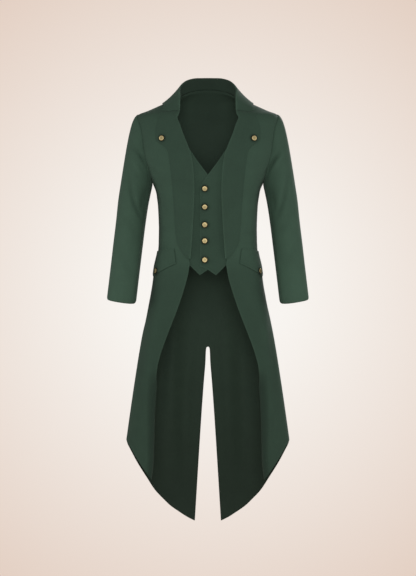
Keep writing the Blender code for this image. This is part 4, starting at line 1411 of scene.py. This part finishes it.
def nap_group():
    """Brushed wool: short fibres that lie downwards, and the soft patches they make."""
    tree, new = new_group(
        "Brushed nap",
        [
            ("Place", "NodeSocketVector", None),
            ("Fibres per metre", "NodeSocketFloat", 900.0),
            ("Patches per metre", "NodeSocketFloat", 22.0),
        ],
        [("Fibres", "NodeSocketFloat"), ("Patches", "NodeSocketFloat")],
    )
    if not new:
        return tree
    source = add_node(tree, "NodeGroupInput", (-700, 0))
    target = add_node(tree, "NodeGroupOutput", (500, 0))
    lie = add_node(
        tree, "ShaderNodeVectorMath", (-480, 100), "fibres lie downwards", operation="MULTIPLY"
    )
    lie.inputs[1].default_value = (1.0, 1.0, 0.35)
    tree.links.new(source.outputs["Place"], lie.inputs[0])
    fibres = add_node(tree, "ShaderNodeTexNoise", (-240, 100), "fibres")
    set_inputs(fibres, Detail=4.0, Roughness=0.6)
    tree.links.new(lie.outputs[0], fibres.inputs["Vector"])
    tree.links.new(source.outputs["Fibres per metre"], fibres.inputs["Scale"])
    patches = add_node(tree, "ShaderNodeTexNoise", (-240, -160), "patches")
    set_inputs(patches, Detail=3.0, Roughness=0.55)
    tree.links.new(source.outputs["Place"], patches.inputs["Vector"])
    tree.links.new(source.outputs["Patches per metre"], patches.inputs["Scale"])
    tree.links.new(fibres.outputs[0], target.inputs["Fibres"])
    tree.links.new(patches.outputs[0], target.inputs["Patches"])
    return tree


def place_group(tree, group, place, **values):
    """A node group placed in a material with its own values."""
    return set_inputs(add_node(tree, "ShaderNodeGroup", place, group.name, node_tree=group), **values)


def tinted(colour, share):
    """A colour made lighter or darker."""
    return [part * share for part in colour[:3]] + [1.0]


def new_material(name):
    """A material with an untouched shader, in place of an earlier one of that name."""
    old = bpy.data.materials.get(name)
    if old is not None:
        bpy.data.materials.remove(old)
    look = bpy.data.materials.new(name)
    look.use_nodes = True
    shader = look.node_tree.nodes["Principled BSDF"]
    shader.location = (600, 0)
    look.node_tree.nodes["Material Output"].location = (900, 0)
    return look, look.node_tree, shader


def mix_colours(tree, place, amount, first, second, label=None, blend="MIX"):
    """Mixes two colours, which are values or other nodes' outputs. Returns the mixed output."""
    node = add_node(tree, "ShaderNodeMix", place, label, data_type="RGBA", blend_type=blend)
    for socket, value in ((node.inputs[0], amount), (node.inputs[6], first), (node.inputs[7], second)):
        if isinstance(value, bpy.types.NodeSocket):
            tree.links.new(value, socket)
        else:
            socket.default_value = value
    return node.outputs[2]


def cloth_look(name, colour, weave, sheen, roughness, bump, specular):
    """Woven cloth: twill ribs, brushed nap, soft patches of tone, painted light and shade, and painted
    shade at seams.
    """
    old = bpy.data.materials.get(name)
    if old is not None:
        return old
    look, tree, shader = new_material(name)
    cloth = add_node(tree, "ShaderNodeUVMap", (-1300, 200), uv_map="cloth")
    place = add_node(tree, "ShaderNodeTexCoord", (-1300, -200))
    seam = add_node(tree, "ShaderNodeAttribute", (-700, 420), "seam shade", attribute_name="seam")
    twill = place_group(tree, twill_group(), (-1050, 200), Ribs_per_metre=1 / weave)
    nap = place_group(tree, nap_group(), (-1050, -200))
    tree.links.new(cloth.outputs[0], twill.inputs["Cloth"])
    tree.links.new(place.outputs["Object"], nap.inputs["Place"])
    patch = add_node(tree, "ShaderNodeMapRange", (-760, -260), "patches of tone")
    set_inputs(patch, From_Min=0.3, From_Max=0.7)
    tree.links.new(nap.outputs["Patches"], patch.inputs["Value"])
    dark, light = tinted(colour, DARK_PATCH), tinted(colour, LIGHT_PATCH)
    tone = mix_colours(tree, (-460, 160), patch.outputs[0], dark, light, "patches")
    fleck = add_node(tree, "ShaderNodeMapRange", (-760, 0), "fibre flecks")
    set_inputs(fleck, From_Min=0.35, From_Max=0.75, To_Max=0.35)
    tree.links.new(nap.outputs["Fibres"], fleck.inputs["Value"])
    tone = mix_colours(tree, (-240, 160), fleck.outputs[0], tone, tinted(colour, FIBRE_FLECK), "flecks")
    # The tone values are painted light and shade, multiplied into the colour.
    painted_tone = add_node(tree, "ShaderNodeAttribute", (-460, 620), "fading", attribute_name="tone")
    tone = mix_colours(tree, (-120, 400), 1.0, tone, painted_tone.outputs["Fac"], "fading", blend="MULTIPLY")
    # Painted shade along seams, stitch rows and some edges.
    seam_amount = add_math(tree, "MULTIPLY", (-460, 420), seam.outputs["Fac"], SEAM_AMOUNT)
    tone = mix_colours(tree, (80, 200), seam_amount, tone, tinted(colour, SEAM_DARK), "seams")
    tree.links.new(tone, shader.inputs["Base Color"])
    rough = add_node(tree, "ShaderNodeMapRange", (-240, -80), "roughness")
    set_inputs(rough, To_Min=roughness - PATCH_ROUGHNESS, To_Max=min(1.0, roughness + PATCH_ROUGHNESS))
    tree.links.new(nap.outputs["Patches"], rough.inputs["Value"])
    tree.links.new(rough.outputs[0], shader.inputs["Roughness"])
    ribs = add_node(tree, "ShaderNodeBump", (0, -260), "ribs")
    set_inputs(ribs, Strength=bump, Distance=RIB_DEPTH)
    tree.links.new(twill.outputs["Height"], ribs.inputs["Height"])
    fuzz = add_node(tree, "ShaderNodeBump", (240, -260), "nap")
    set_inputs(fuzz, Strength=bump, Distance=NAP_DEPTH)
    tree.links.new(nap.outputs["Fibres"], fuzz.inputs["Height"])
    tree.links.new(ribs.outputs[0], fuzz.inputs["Normal"])
    tree.links.new(fuzz.outputs[0], shader.inputs["Normal"])
    set_inputs(shader, Sheen_Weight=sheen, Sheen_Roughness=0.45, Sheen_Tint=(0.72, 0.88, 0.78, 1.0))
    set_inputs(shader, Specular_IOR_Level=specular)
    return look


def wool_look():
    """Green wool: a clear twill with a soft, matt nap."""
    cloth = bpy.context.scene.tailcoat_cloth
    return cloth_look(
        "green wool", cloth.colour, cloth.weave, sheen=0.07, roughness=0.88, bump=0.4, specular=0.2
    )


def lining_look():
    """Dark lining: a twill half as coarse as the wool's, and smoother."""
    cloth = bpy.context.scene.tailcoat_cloth
    weave = cloth.weave / 2
    return cloth_look(
        "dark lining", cloth.lining_colour, weave, sheen=0.02, roughness=0.7, bump=0.12, specular=0.08
    )


def brass_look():
    """Turned brass with tarnish stains, and painted shade round its rim and a little at its centre, which
    are rougher.
    """
    old = bpy.data.materials.get("brass")
    if old is not None:
        return old
    look, tree, shader = new_material("brass")
    colour = tuple(bpy.context.scene.tailcoat_buttons.colour)
    groove = add_node(tree, "ShaderNodeAttribute", (-700, 200), "groove", attribute_name="groove")
    place = add_node(tree, "ShaderNodeTexCoord", (-1000, -100))
    stains = add_node(tree, "ShaderNodeTexNoise", (-760, -100), "tarnish")
    set_inputs(stains, Scale=420.0, Detail=4.0)
    tree.links.new(place.outputs["Object"], stains.inputs["Vector"])
    painted_shading_and_tarnish = add_math(tree, "MULTIPLY", (-520, -60), stains.outputs[0], TARNISH_STAINS)
    # Painted shade on the rim and centre, with the tarnish stains, darkens the brass and makes it
    # rougher.
    amount = add_math(tree, "ADD", (-340, 120), groove.outputs["Fac"], painted_shading_and_tarnish, clamp=True)
    shown = mix_colours(tree, (-120, 160), amount, colour, tinted(colour, SHADE_AND_TARNISH_DARK), "tarnish")
    tree.links.new(shown, shader.inputs["Base Color"])
    rough = add_node(tree, "ShaderNodeMapRange", (-120, -100), "roughness")
    set_inputs(rough, To_Min=0.52, To_Max=0.72)
    tree.links.new(amount, rough.inputs["Value"])
    tree.links.new(rough.outputs[0], shader.inputs["Roughness"])
    set_inputs(shader, Metallic=1.0)
    return look


def add_button(name, place, out):
    """A turned button on the cloth, with its back flat against it."""
    sizes = bpy.context.scene.tailcoat_buttons
    clear_piece(name + "_brass")
    radius, height, sides = sizes.radius / MM, sizes.height / MM, sizes.sides
    right = unit(np.cross(np.array([0, 0, 1.0]), out))
    up = np.cross(out, right)
    turn = np.linspace(0, 2 * np.pi, sides, endpoint=False)
    spokes = right * np.cos(turn)[:, None] + up * np.sin(turn)[:, None]
    # Painted shade: full on the rim outside the face, a little at the centre, more at the back's centre.
    points, rim_and_centre_shades = [place], [BACK_DULLNESS]
    for ring in BUTTON_PROFILE[1:-1]:
        points.extend(place + spokes * ring.radius * radius + out * ring.height * height)
        dull = 1.0 if ring.radius > FACE_SHARE else DULLNESS * (ring.radius < DULL_SHARE)
        rim_and_centre_shades.extend([dull] * sides)
    points.append(place + out * height)
    rim_and_centre_shades.append(DULLNESS)
    faces = []
    for ring in range(len(BUTTON_PROFILE) - 3):
        low = 1 + ring * sides
        for k in range(sides):
            after = (k + 1) % sides
            faces.append([low + k, low + after, low + sides + after, low + sides + k])
    last = 1 + (len(BUTTON_PROFILE) - 3) * sides
    for k in range(sides):
        after = (k + 1) % sides
        faces.append([0, 1 + after, 1 + k])
        faces.append([last + k, last + after, len(points) - 1])
    obj = add_mesh(name + "_brass", points, faces, None, [brass_look()])
    set_vertex_values(obj.data, "groove", rim_and_centre_shades)
    finish_piece(obj, name)


class TailcoatCloth(bpy.types.PropertyGroup):
    """Sizes and colours of the cloth."""

    colour: FloatVectorProperty(
        name="Cloth colour",
        description="Colour of the wool",
        subtype="COLOR",
        size=4,
        min=0,
        max=1,
        default=(0.0315, 0.0595, 0.0400, 1),
    )
    lining_colour: FloatVectorProperty(
        name="Lining colour",
        description="Colour of the lining",
        subtype="COLOR",
        size=4,
        min=0,
        max=1,
        default=(0.025, 0.041, 0.0287, 1),
    )
    thickness: FloatProperty(
        name="Cloth thickness",
        description="Wall of each panel",
        unit="LENGTH",
        default=1.6 * MM,
    )
    collar_thickness: FloatProperty(
        name="Collar thickness",
        description="Wall of the collar and the hip flaps",
        unit="LENGTH",
        default=2.2 * MM,
    )
    lining_thickness: FloatProperty(
        name="Lining thickness",
        description="Wall of the back lining",
        unit="LENGTH",
        default=1.2 * MM,
    )
    weave: FloatProperty(
        name="Rib spacing",
        description="Distance between two ribs of the twill",
        unit="LENGTH",
        default=1.3 * MM,
    )
    spacing: FloatProperty(
        name="Mesh spacing",
        description="Distance between the rows of a panel's mesh",
        unit="LENGTH",
        default=6 * MM,
    )
    edge_roll: FloatProperty(
        name="Skirt edge roll",
        description="How far the skirt's front edges turn in",
        unit="LENGTH",
        default=14 * MM,
    )


class TailcoatButtons(bpy.types.PropertyGroup):
    """Sizes and colour of the buttons."""

    radius: FloatProperty(
        name="Radius",
        description="Radius of a button",
        unit="LENGTH",
        default=9.2 * MM,
    )
    height: FloatProperty(
        name="Height",
        description="Height of a button",
        unit="LENGTH",
        default=3.7 * MM,
    )
    sides: IntProperty(name="Sides", description="Points round a button", default=40, min=8)
    colour: FloatVectorProperty(
        name="Brass colour",
        description="Colour of the bright brass",
        subtype="COLOR",
        size=4,
        min=0,
        max=1,
        default=(0.64, 0.52, 0.27, 1),
    )


class TailcoatStudio(bpy.types.PropertyGroup):
    """Camera, lights, backdrop and floor."""

    distance: FloatProperty(
        name="Camera distance",
        description="From the camera to the coat's middle",
        unit="LENGTH",
        default=40.0,
    )
    view_height: FloatProperty(
        name="View height",
        description="Height of the picture at the coat",
        unit="LENGTH",
        default=1.757,
    )
    side_light: FloatProperty(
        name="Side lights",
        description="Power of each side light in watts",
        default=38.0,
    )
    front_light: FloatProperty(
        name="Front light",
        description="Power of the high front light in watts",
        default=52.0,
    )
    low_light: FloatProperty(
        name="Low light",
        description="Power of the front light at half height in watts",
        default=66.0,
    )
    back_light: FloatProperty(
        name="Back light",
        description="Power of the light behind in watts",
        default=125.0,
    )
    ambience: FloatProperty(
        name="Ambience",
        description="Strength of the light from all round",
        default=0.18,
    )
    backdrop: FloatVectorProperty(
        name="Backdrop colour",
        description="Colour behind the coat, far from its middle",
        subtype="COLOR",
        size=4,
        min=0,
        max=1,
        default=(0.772, 0.631, 0.548, 1),
    )
    floor: FloatVectorProperty(
        name="Floor colour",
        description="Colour of the floor",
        subtype="COLOR",
        size=4,
        min=0,
        max=1,
        default=(0.93, 0.80, 0.715, 1),
    )
    glow: FloatVectorProperty(
        name="Glow colour",
        description="Colour of the backdrop behind the coat's middle",
        subtype="COLOR",
        size=4,
        min=0,
        max=1,
        default=(0.938, 0.908, 0.872, 1),
    )


class TAILCOAT_OT_fronts(bpy.types.Operator):
    """Make the two fronts, each one piece from shoulder to hem"""

    bl_idname = "tailcoat.fronts"
    bl_label = "Fronts"

    def execute(self, context):
        cloth = context.scene.tailcoat_cloth
        angle, z = panel_grid(FRONT, cloth.spacing / MM)
        turned = step_between(z, TURN_START, TURN_FULL)
        open_edge = step_between(z, LAPEL_FOOT, LAPEL_FOOT - OPEN_EDGE_SETTLES) * (1 - turned)

        def shape(sign):
            middle = dressed(sign * angle, z, cloth.thickness / MM / 2)
            from_edge = arc_lengths(middle, axis=1)
            curl = np.clip(1 - from_edge / TURN_WIDTH, 0, 1)
            rolled = cloth.edge_roll / MM * (1 - np.sqrt(1 - curl ** 2)) * turned
            # Painted shade where the skirt's edge turns in and in the folds, painted light on the ridges,
            # and a painted highlight on the open edge.
            wear = crease_painted_shade(sign * angle, z) * (1 - TURN_SHADE * (1 - (1 - curl) ** 2) * turned)
            wear = wear * painted_light_along(from_edge, EDGE_HIGHLIGHT * open_edge, EDGE_HIGHLIGHT_WIDTH)
            middle = lapped(middle, "right", armhole_lap(middle))
            return middle, {"turned_in": rolled, "wear": wear}

        add_cloth_pair(
            "front", shape, cloth.thickness / MM, [wool_look(), lining_look()], BODY_TONE,
            seams=["right"], stitches=[("bottom", HEM_INSET)],
        )
        return {"FINISHED"}


class TAILCOAT_OT_backs(bpy.types.Operator):
    """Make the two backs, from the neck to the tips of the tails"""

    bl_idname = "tailcoat.backs"
    bl_label = "Backs"

    def execute(self, context):
        cloth = context.scene.tailcoat_cloth
        angle, z = panel_grid(BACK, cloth.spacing / MM)

        def shape(sign):
            middle = dressed(sign * angle, z, cloth.thickness / MM / 2)
            middle = lapped(middle, "left", armhole_lap(middle[:, ::-1]))
            middle = lapped(middle, "right", centre_lap(middle))
            # Painted shade in the folds' troughs and painted light on their ridges.
            return middle, {"wear": crease_painted_shade(sign * angle, z)}

        add_cloth_pair(
            "back", shape, cloth.thickness / MM, [wool_look(), lining_look()], BODY_TONE,
            seams=["left", "right", "top"], stitches=[("bottom", HEM_INSET)],
        )
        return {"FINISHED"}


class TAILCOAT_OT_linings(bpy.types.Operator):
    """Make the lining of the two backs"""

    bl_idname = "tailcoat.linings"
    bl_label = "Back linings"

    def execute(self, context):
        cloth = context.scene.tailcoat_cloth
        thickness = cloth.lining_thickness / MM
        angle, z = panel_grid(BACK_LINING, cloth.spacing / MM)
        beside_vent = step_between(z, VENT[0].z, VENT[0].z - VENT_SETTLES)
        # Painted light on the upper lining, strongest towards its sides and just below the neckline.
        at_neck = painted_light_along(z - LINING_NECK_LIGHT_LEVEL, LINING_NECK_LIGHT, LINING_NECK_LIGHT_REACH) - 1
        painted_shading_and_tarnish = (LINING_SIDE_LIGHT + at_neck) * (1 - step_between(z, *LINING_LIGHT_FADES))

        def shape(sign):
            middle = lining_middle(angle, z, sign, thickness)
            middle = lapped(middle, "left", SEAM_LAP)
            middle = lapped(middle, "right", centre_lap(middle))
            beside_neck = np.clip(np.abs(middle[..., 0]) / HALF_WIDTH(NECK_LEVEL), 0, 1) ** 2
            return middle, {"wear": 1 + painted_shading_and_tarnish * beside_neck}

        # Painted shade along the vent, the hem and the top edge.
        add_cloth_pair(
            "back_lining", shape, thickness, [lining_look()], LINING_TONE, slot="lining_cloth",
            edges=[("right", beside_vent), ("bottom", LINING_HEM_SHADE), ("top", LINING_TOP_SHADE)],
        )
        return {"FINISHED"}


class TAILCOAT_OT_collar(bpy.types.Operator):
    """Make the collar, stand and leaf in one"""

    bl_idname = "tailcoat.collar"
    bl_label = "Collar"

    def execute(self, context):
        cloth = context.scene.tailcoat_cloth
        # Painted shade: the inside of the stand takes the dark lining look, though it is the collar's
        # wool.
        looks = [wool_look(), lining_look(), wool_look()]
        middle = through_stations(collar_sections()).transpose(1, 0, 2)
        rows, columns = middle.shape[:2]
        facing = np.zeros((rows - 1, columns - 1), int)
        facing[:CROWN_STEP] = 1
        down = arc_lengths(middle, axis=0)
        # Painted highlight along the roll of the collar.
        wear = painted_light_along(down - down[HIGHLIGHT_STEP], ROLL_HIGHLIGHT, ROLL_HIGHLIGHT_WIDTH)
        obj = add_cloth(
            "collar_cloth", middle, cloth.collar_thickness / MM, looks, COLLAR_TONE,
            facing=facing, wear=wear, stitches=[("bottom", EDGE_INSET)],
        )
        finish_piece(obj, "collar")
        return {"FINISHED"}


class TAILCOAT_OT_lapels(bpy.types.Operator):
    """Make the two revers, turned back over the chest"""

    bl_idname = "tailcoat.lapels"
    bl_label = "Revers"

    def execute(self, context):
        cloth = context.scene.tailcoat_cloth
        levels = LAPEL_TOP - edged(LAPEL_TOP - LAPEL_FOOT, FINE_SPACING)

        def shape(sign):
            middle, angle, z = lapel_grid(levels, sign)
            across = arc_lengths(middle, axis=1)
            # Painted shade and light along the folds, and a painted highlight along the roll.
            from_roll = across - across[:, HIGHLIGHT_STEP:HIGHLIGHT_STEP + 1]
            wear = crease_painted_shade(angle, z) * painted_light_along(from_roll, ROLL_HIGHLIGHT, ROLL_HIGHLIGHT_WIDTH)
            return middle, {"wear": wear}

        add_cloth_pair(
            "lapel", shape, cloth.thickness / MM, [wool_look()], LAPEL_TONE,
            seams=["top"], stitches=[("right", EDGE_INSET)],
        )
        return {"FINISHED"}


class TAILCOAT_OT_sleeves(bpy.types.Operator):
    """Make the top and under sleeves"""

    bl_idname = "tailcoat.sleeves"
    bl_label = "Sleeves"

    def execute(self, context):
        cloth = context.scene.tailcoat_cloth
        thickness = cloth.thickness / MM
        looks = [wool_look(), lining_look()]
        arms = (
            ("left", LEFT_SLEEVE_FRONT, LEFT_SLEEVE_BACK),
            ("right", RIGHT_SLEEVE_FRONT, RIGHT_SLEEVE_BACK),
        )
        for side, front_folds, back_folds in arms:
            turns, points, normals, spines, (front, back) = sleeve_surface(front_folds, back_folds)
            down = np.linspace(0, 1, len(points))
            front = front + SEAM_DRIFT * step_between(-down, 0, -SEAM_DRIFT_ENDS)
            back = np.full(len(points), back)
            parts = (("top_sleeve", back - 360, front), ("under_sleeve", front, back))
            for name, start, end in parts:
                middle = sleeve_part(turns, points, normals, start, end, thickness)
                # Painted shade in the folds' troughs and painted light on their ridges.
                wear = 1 + CREASE_SHADE * fold_lift(middle, spines)
                if side == "right":
                    middle = middle[:, ::-1] * np.array([-1, 1, 1])
                    wear = wear[:, ::-1]
                obj = add_cloth(
                    f"{name}_{side}_cloth", middle, thickness, looks, SLEEVE_TONE,
                    seams=["left", "right", "top"], stitches=[("bottom", CUFF_INSET)], wear=wear,
                )
                finish_piece(obj, f"{name}_{side}")
        return {"FINISHED"}


class TAILCOAT_OT_waistcoat(bpy.types.Operator):
    """Make the waistcoat front, its left side lapping over its right"""

    bl_idname = "tailcoat.waistcoat"
    bl_label = "Waistcoat front"

    def execute(self, context):
        cloth = context.scene.tailcoat_cloth
        thickness = cloth.thickness / MM
        x, z = waistcoat_grid()
        past_lap = np.clip((x - UNDERLAP_FULL_X) / (UNDERLAP_END_X - UNDERLAP_FULL_X), 0, 1)

        def shape(sign):
            angle = sign * angle_at(x, z)
            under = WAISTCOAT_UNDERLAP * (1 - past_lap) if sign < 0 else 0
            middle = dressed(angle, z, -UNDER_GAP - thickness / 2 - under)
            # Painted shade and light along the folds, and a painted highlight along the front and lower
            # edges.
            edge = np.minimum(arc_lengths(middle, axis=1), edge_distances(middle)["bottom"])
            return middle, {"wear": crease_painted_shade(angle, z) * painted_light_along(edge, EDGE_HIGHLIGHT, EDGE_HIGHLIGHT_WIDTH)}

        add_cloth_pair(
            "waistcoat", shape, thickness, [wool_look()], WAISTCOAT_TONE,
            stitches=[("left", EDGE_INSET), ("bottom", EDGE_INSET)],
        )
        return {"FINISHED"}


class TAILCOAT_OT_hip_flaps(bpy.types.Operator):
    """Make the two pointed hip flaps"""

    bl_idname = "tailcoat.hip_flaps"
    bl_label = "Hip flaps"

    def execute(self, context):
        cloth = context.scene.tailcoat_cloth
        thickness = cloth.collar_thickness / MM
        angle, z = flap_grid()

        def shape(sign):
            middle = dressed(sign * angle, z, cloth.thickness / MM + LAID_ON_GAP + thickness / 2)
            # Painted shade in the folds' troughs and painted light on their ridges.
            return middle, {"wear": crease_painted_shade(sign * angle, z)}

        # Painted shade along the top edge.
        add_cloth_pair(
            "hip_flap", shape, thickness, [wool_look()], FLAP_TONE,
            edges=[("top", FLAP_TOP_SHADE)], stitches=[("bottom", EDGE_INSET)],
        )
        return {"FINISHED"}


class TAILCOAT_OT_buttons(bpy.types.Operator):
    """Make the nine brass buttons"""

    bl_idname = "tailcoat.buttons"
    bl_label = "Buttons"

    def execute(self, context):
        for name, place, out in button_spots():
            add_button(name, place, out)
        return {"FINISHED"}


def add_camera(studio):
    """A camera straight in front of the coat, at the height of its middle."""
    clear_piece("studio_camera")
    lens = bpy.data.cameras.new("studio_camera")
    lens.sensor_width = SENSOR_WIDTH
    lens.lens = SENSOR_WIDTH * studio.distance / studio.view_height
    lens.clip_end = 3 * studio.distance
    camera = bpy.data.objects.new("studio_camera", lens)
    bpy.context.scene.collection.objects.link(camera)
    camera.location = VIEW_MIDDLE + np.array([0, -studio.distance, 0])
    camera.rotation_euler = (math.pi / 2, 0, 0)
    bpy.context.scene.camera = camera


def add_area_light(name, place, size, power):
    """A soft light that points at the coat's middle."""
    clear_piece(name)
    lamp = bpy.data.lights.new(name, "AREA")
    lamp.shape = "RECTANGLE"
    lamp.size, lamp.size_y = size
    lamp.energy = power
    obj = bpy.data.objects.new(name, lamp)
    bpy.context.scene.collection.objects.link(obj)
    obj.location = place
    aim = VIEW_MIDDLE - np.array(place)
    level = math.hypot(aim[0], aim[1])
    obj.rotation_euler = (math.atan2(level, -aim[2]), 0, math.atan2(-aim[0], aim[1]))


def add_backdrop(studio):
    """A pale backdrop with a glow behind the coat, and even light from all round."""
    world = bpy.data.worlds.new("studio")
    bpy.context.scene.world = world
    world.use_nodes = True
    tree = world.node_tree
    seen = tree.nodes["Background"]
    seen.label = "pale backdrop"
    way = add_node(tree, "ShaderNodeTexCoord", (-1100, 300))
    apart = add_node(
        tree, "ShaderNodeVectorMath", (-900, 300), "away from the middle", operation="DISTANCE"
    )
    apart.inputs[1].default_value = GLOW_WAY
    tree.links.new(way.outputs["Generated"], apart.inputs[0])
    fade = add_node(tree, "ShaderNodeMapRange", (-680, 300), "glow")
    set_inputs(fade, From_Min=GLOW_START, From_Max=GLOW_END)
    tree.links.new(apart.outputs["Value"], fade.inputs["Value"])
    glow, backdrop = tuple(studio.glow), tuple(studio.backdrop)
    shown = mix_colours(tree, (-440, 300), fade.outputs[0], glow, backdrop, "glow")
    tree.links.new(shown, seen.inputs["Color"])
    around = add_node(tree, "ShaderNodeBackground", (0, -200), "light from all round")
    set_inputs(around, Color=AMBIENT_COLOUR, Strength=studio.ambience)
    rays = add_node(tree, "ShaderNodeLightPath", (0, 300))
    mix = add_node(tree, "ShaderNodeMixShader", (250, 0))
    tree.links.new(rays.outputs["Is Camera Ray"], mix.inputs[0])
    tree.links.new(around.outputs[0], mix.inputs[1])
    tree.links.new(seen.outputs[0], mix.inputs[2])
    tree.links.new(mix.outputs[0], tree.nodes["World Output"].inputs["Surface"])


def floor_look(colour):
    """A pale floor that fades out into the backdrop's colour."""
    look, tree, shader = new_material("studio floor")
    set_inputs(shader, Base_Color=colour, Roughness=0.9)
    set_inputs(shader, Emission_Color=FLOOR_GLOW, Emission_Strength=FLOOR_GLOW_STRENGTH)
    place = add_node(tree, "ShaderNodeTexCoord", (-900, 0))
    length = add_node(tree, "ShaderNodeVectorMath", (-700, 0), operation="LENGTH")
    tree.links.new(place.outputs["Object"], length.inputs[0])
    fade = add_node(tree, "ShaderNodeMapRange", (-480, 0), "fade", interpolation_type="SMOOTHSTEP")
    set_inputs(fade, From_Min=FLOOR_FADE_START, From_Max=FLOOR_FADE_END, To_Min=1.0, To_Max=0.0)
    tree.links.new(length.outputs["Value"], fade.inputs["Value"])
    tree.links.new(fade.outputs[0], shader.inputs["Alpha"])
    return look


def add_floor(studio):
    """A round floor a little below the tails."""
    clear_piece("studio_floor")
    turn = np.linspace(0, 2 * np.pi, FLOOR_SIDES, endpoint=False)
    rim = np.stack([np.cos(turn), np.sin(turn), 0 * turn], axis=-1) * FLOOR_RADIUS / MM
    floor = add_mesh("studio_floor", rim, [list(range(FLOOR_SIDES))], None, [floor_look(studio.floor)])
    lowest = CAD_BOX[0][2]
    floor.location = (0, 0, lowest - FLOOR_DROP)


class TAILCOAT_OT_studio(bpy.types.Operator):
    """Make the camera, the soft lights and the pale floor"""

    bl_idname = "tailcoat.studio"
    bl_label = "Studio"

    def execute(self, context):
        studio = context.scene.tailcoat_studio
        add_camera(studio)
        for light in STUDIO_LIGHTS:
            add_area_light(light.name, light.place, light.size, getattr(studio, light.power))
        add_backdrop(studio)
        add_floor(studio)
        context.scene.view_settings.view_transform = "Standard"
        return {"FINISHED"}


class TAILCOAT_PT_pieces(bpy.types.Panel):
    """The coat's sizes and the operators that make its pieces"""

    bl_label = "Tailcoat"
    bl_idname = "TAILCOAT_PT_pieces"
    bl_space_type = "VIEW_3D"
    bl_region_type = "UI"
    bl_category = "Tailcoat"

    def draw(self, context):
        for group, kind in SETTINGS:
            settings = getattr(context.scene, group)
            box = self.layout.box()
            for name in kind.__annotations__:
                box.prop(settings, name)
        for operator in OPERATORS:
            self.layout.operator(operator.bl_idname)


SETTINGS = (
    ("tailcoat_cloth", TailcoatCloth),
    ("tailcoat_buttons", TailcoatButtons),
    ("tailcoat_studio", TailcoatStudio),
)
OPERATORS = (
    TAILCOAT_OT_linings,
    TAILCOAT_OT_backs,
    TAILCOAT_OT_fronts,
    TAILCOAT_OT_collar,
    TAILCOAT_OT_lapels,
    TAILCOAT_OT_sleeves,
    TAILCOAT_OT_waistcoat,
    TAILCOAT_OT_hip_flaps,
    TAILCOAT_OT_buttons,
    TAILCOAT_OT_studio,
)


def register():
    """Makes the settings, the operators and the panel known to Blender."""
    for name, settings in SETTINGS:
        bpy.utils.register_class(settings)
        setattr(bpy.types.Scene, name, PointerProperty(type=settings))
    for operator in OPERATORS:
        bpy.utils.register_class(operator)
    bpy.utils.register_class(TAILCOAT_PT_pieces)


def unregister():
    """Takes them out again."""
    bpy.utils.unregister_class(TAILCOAT_PT_pieces)
    for operator in reversed(OPERATORS):
        bpy.utils.unregister_class(operator)
    for name, settings in reversed(SETTINGS):
        delattr(bpy.types.Scene, name)
        bpy.utils.unregister_class(settings)


def main():
    """Makes the coat and its studio."""
    register()
    for operator in OPERATORS:
        group, name = operator.bl_idname.split(".")
        getattr(getattr(bpy.ops, group), name)()


if __name__ == "__main__":
    main()
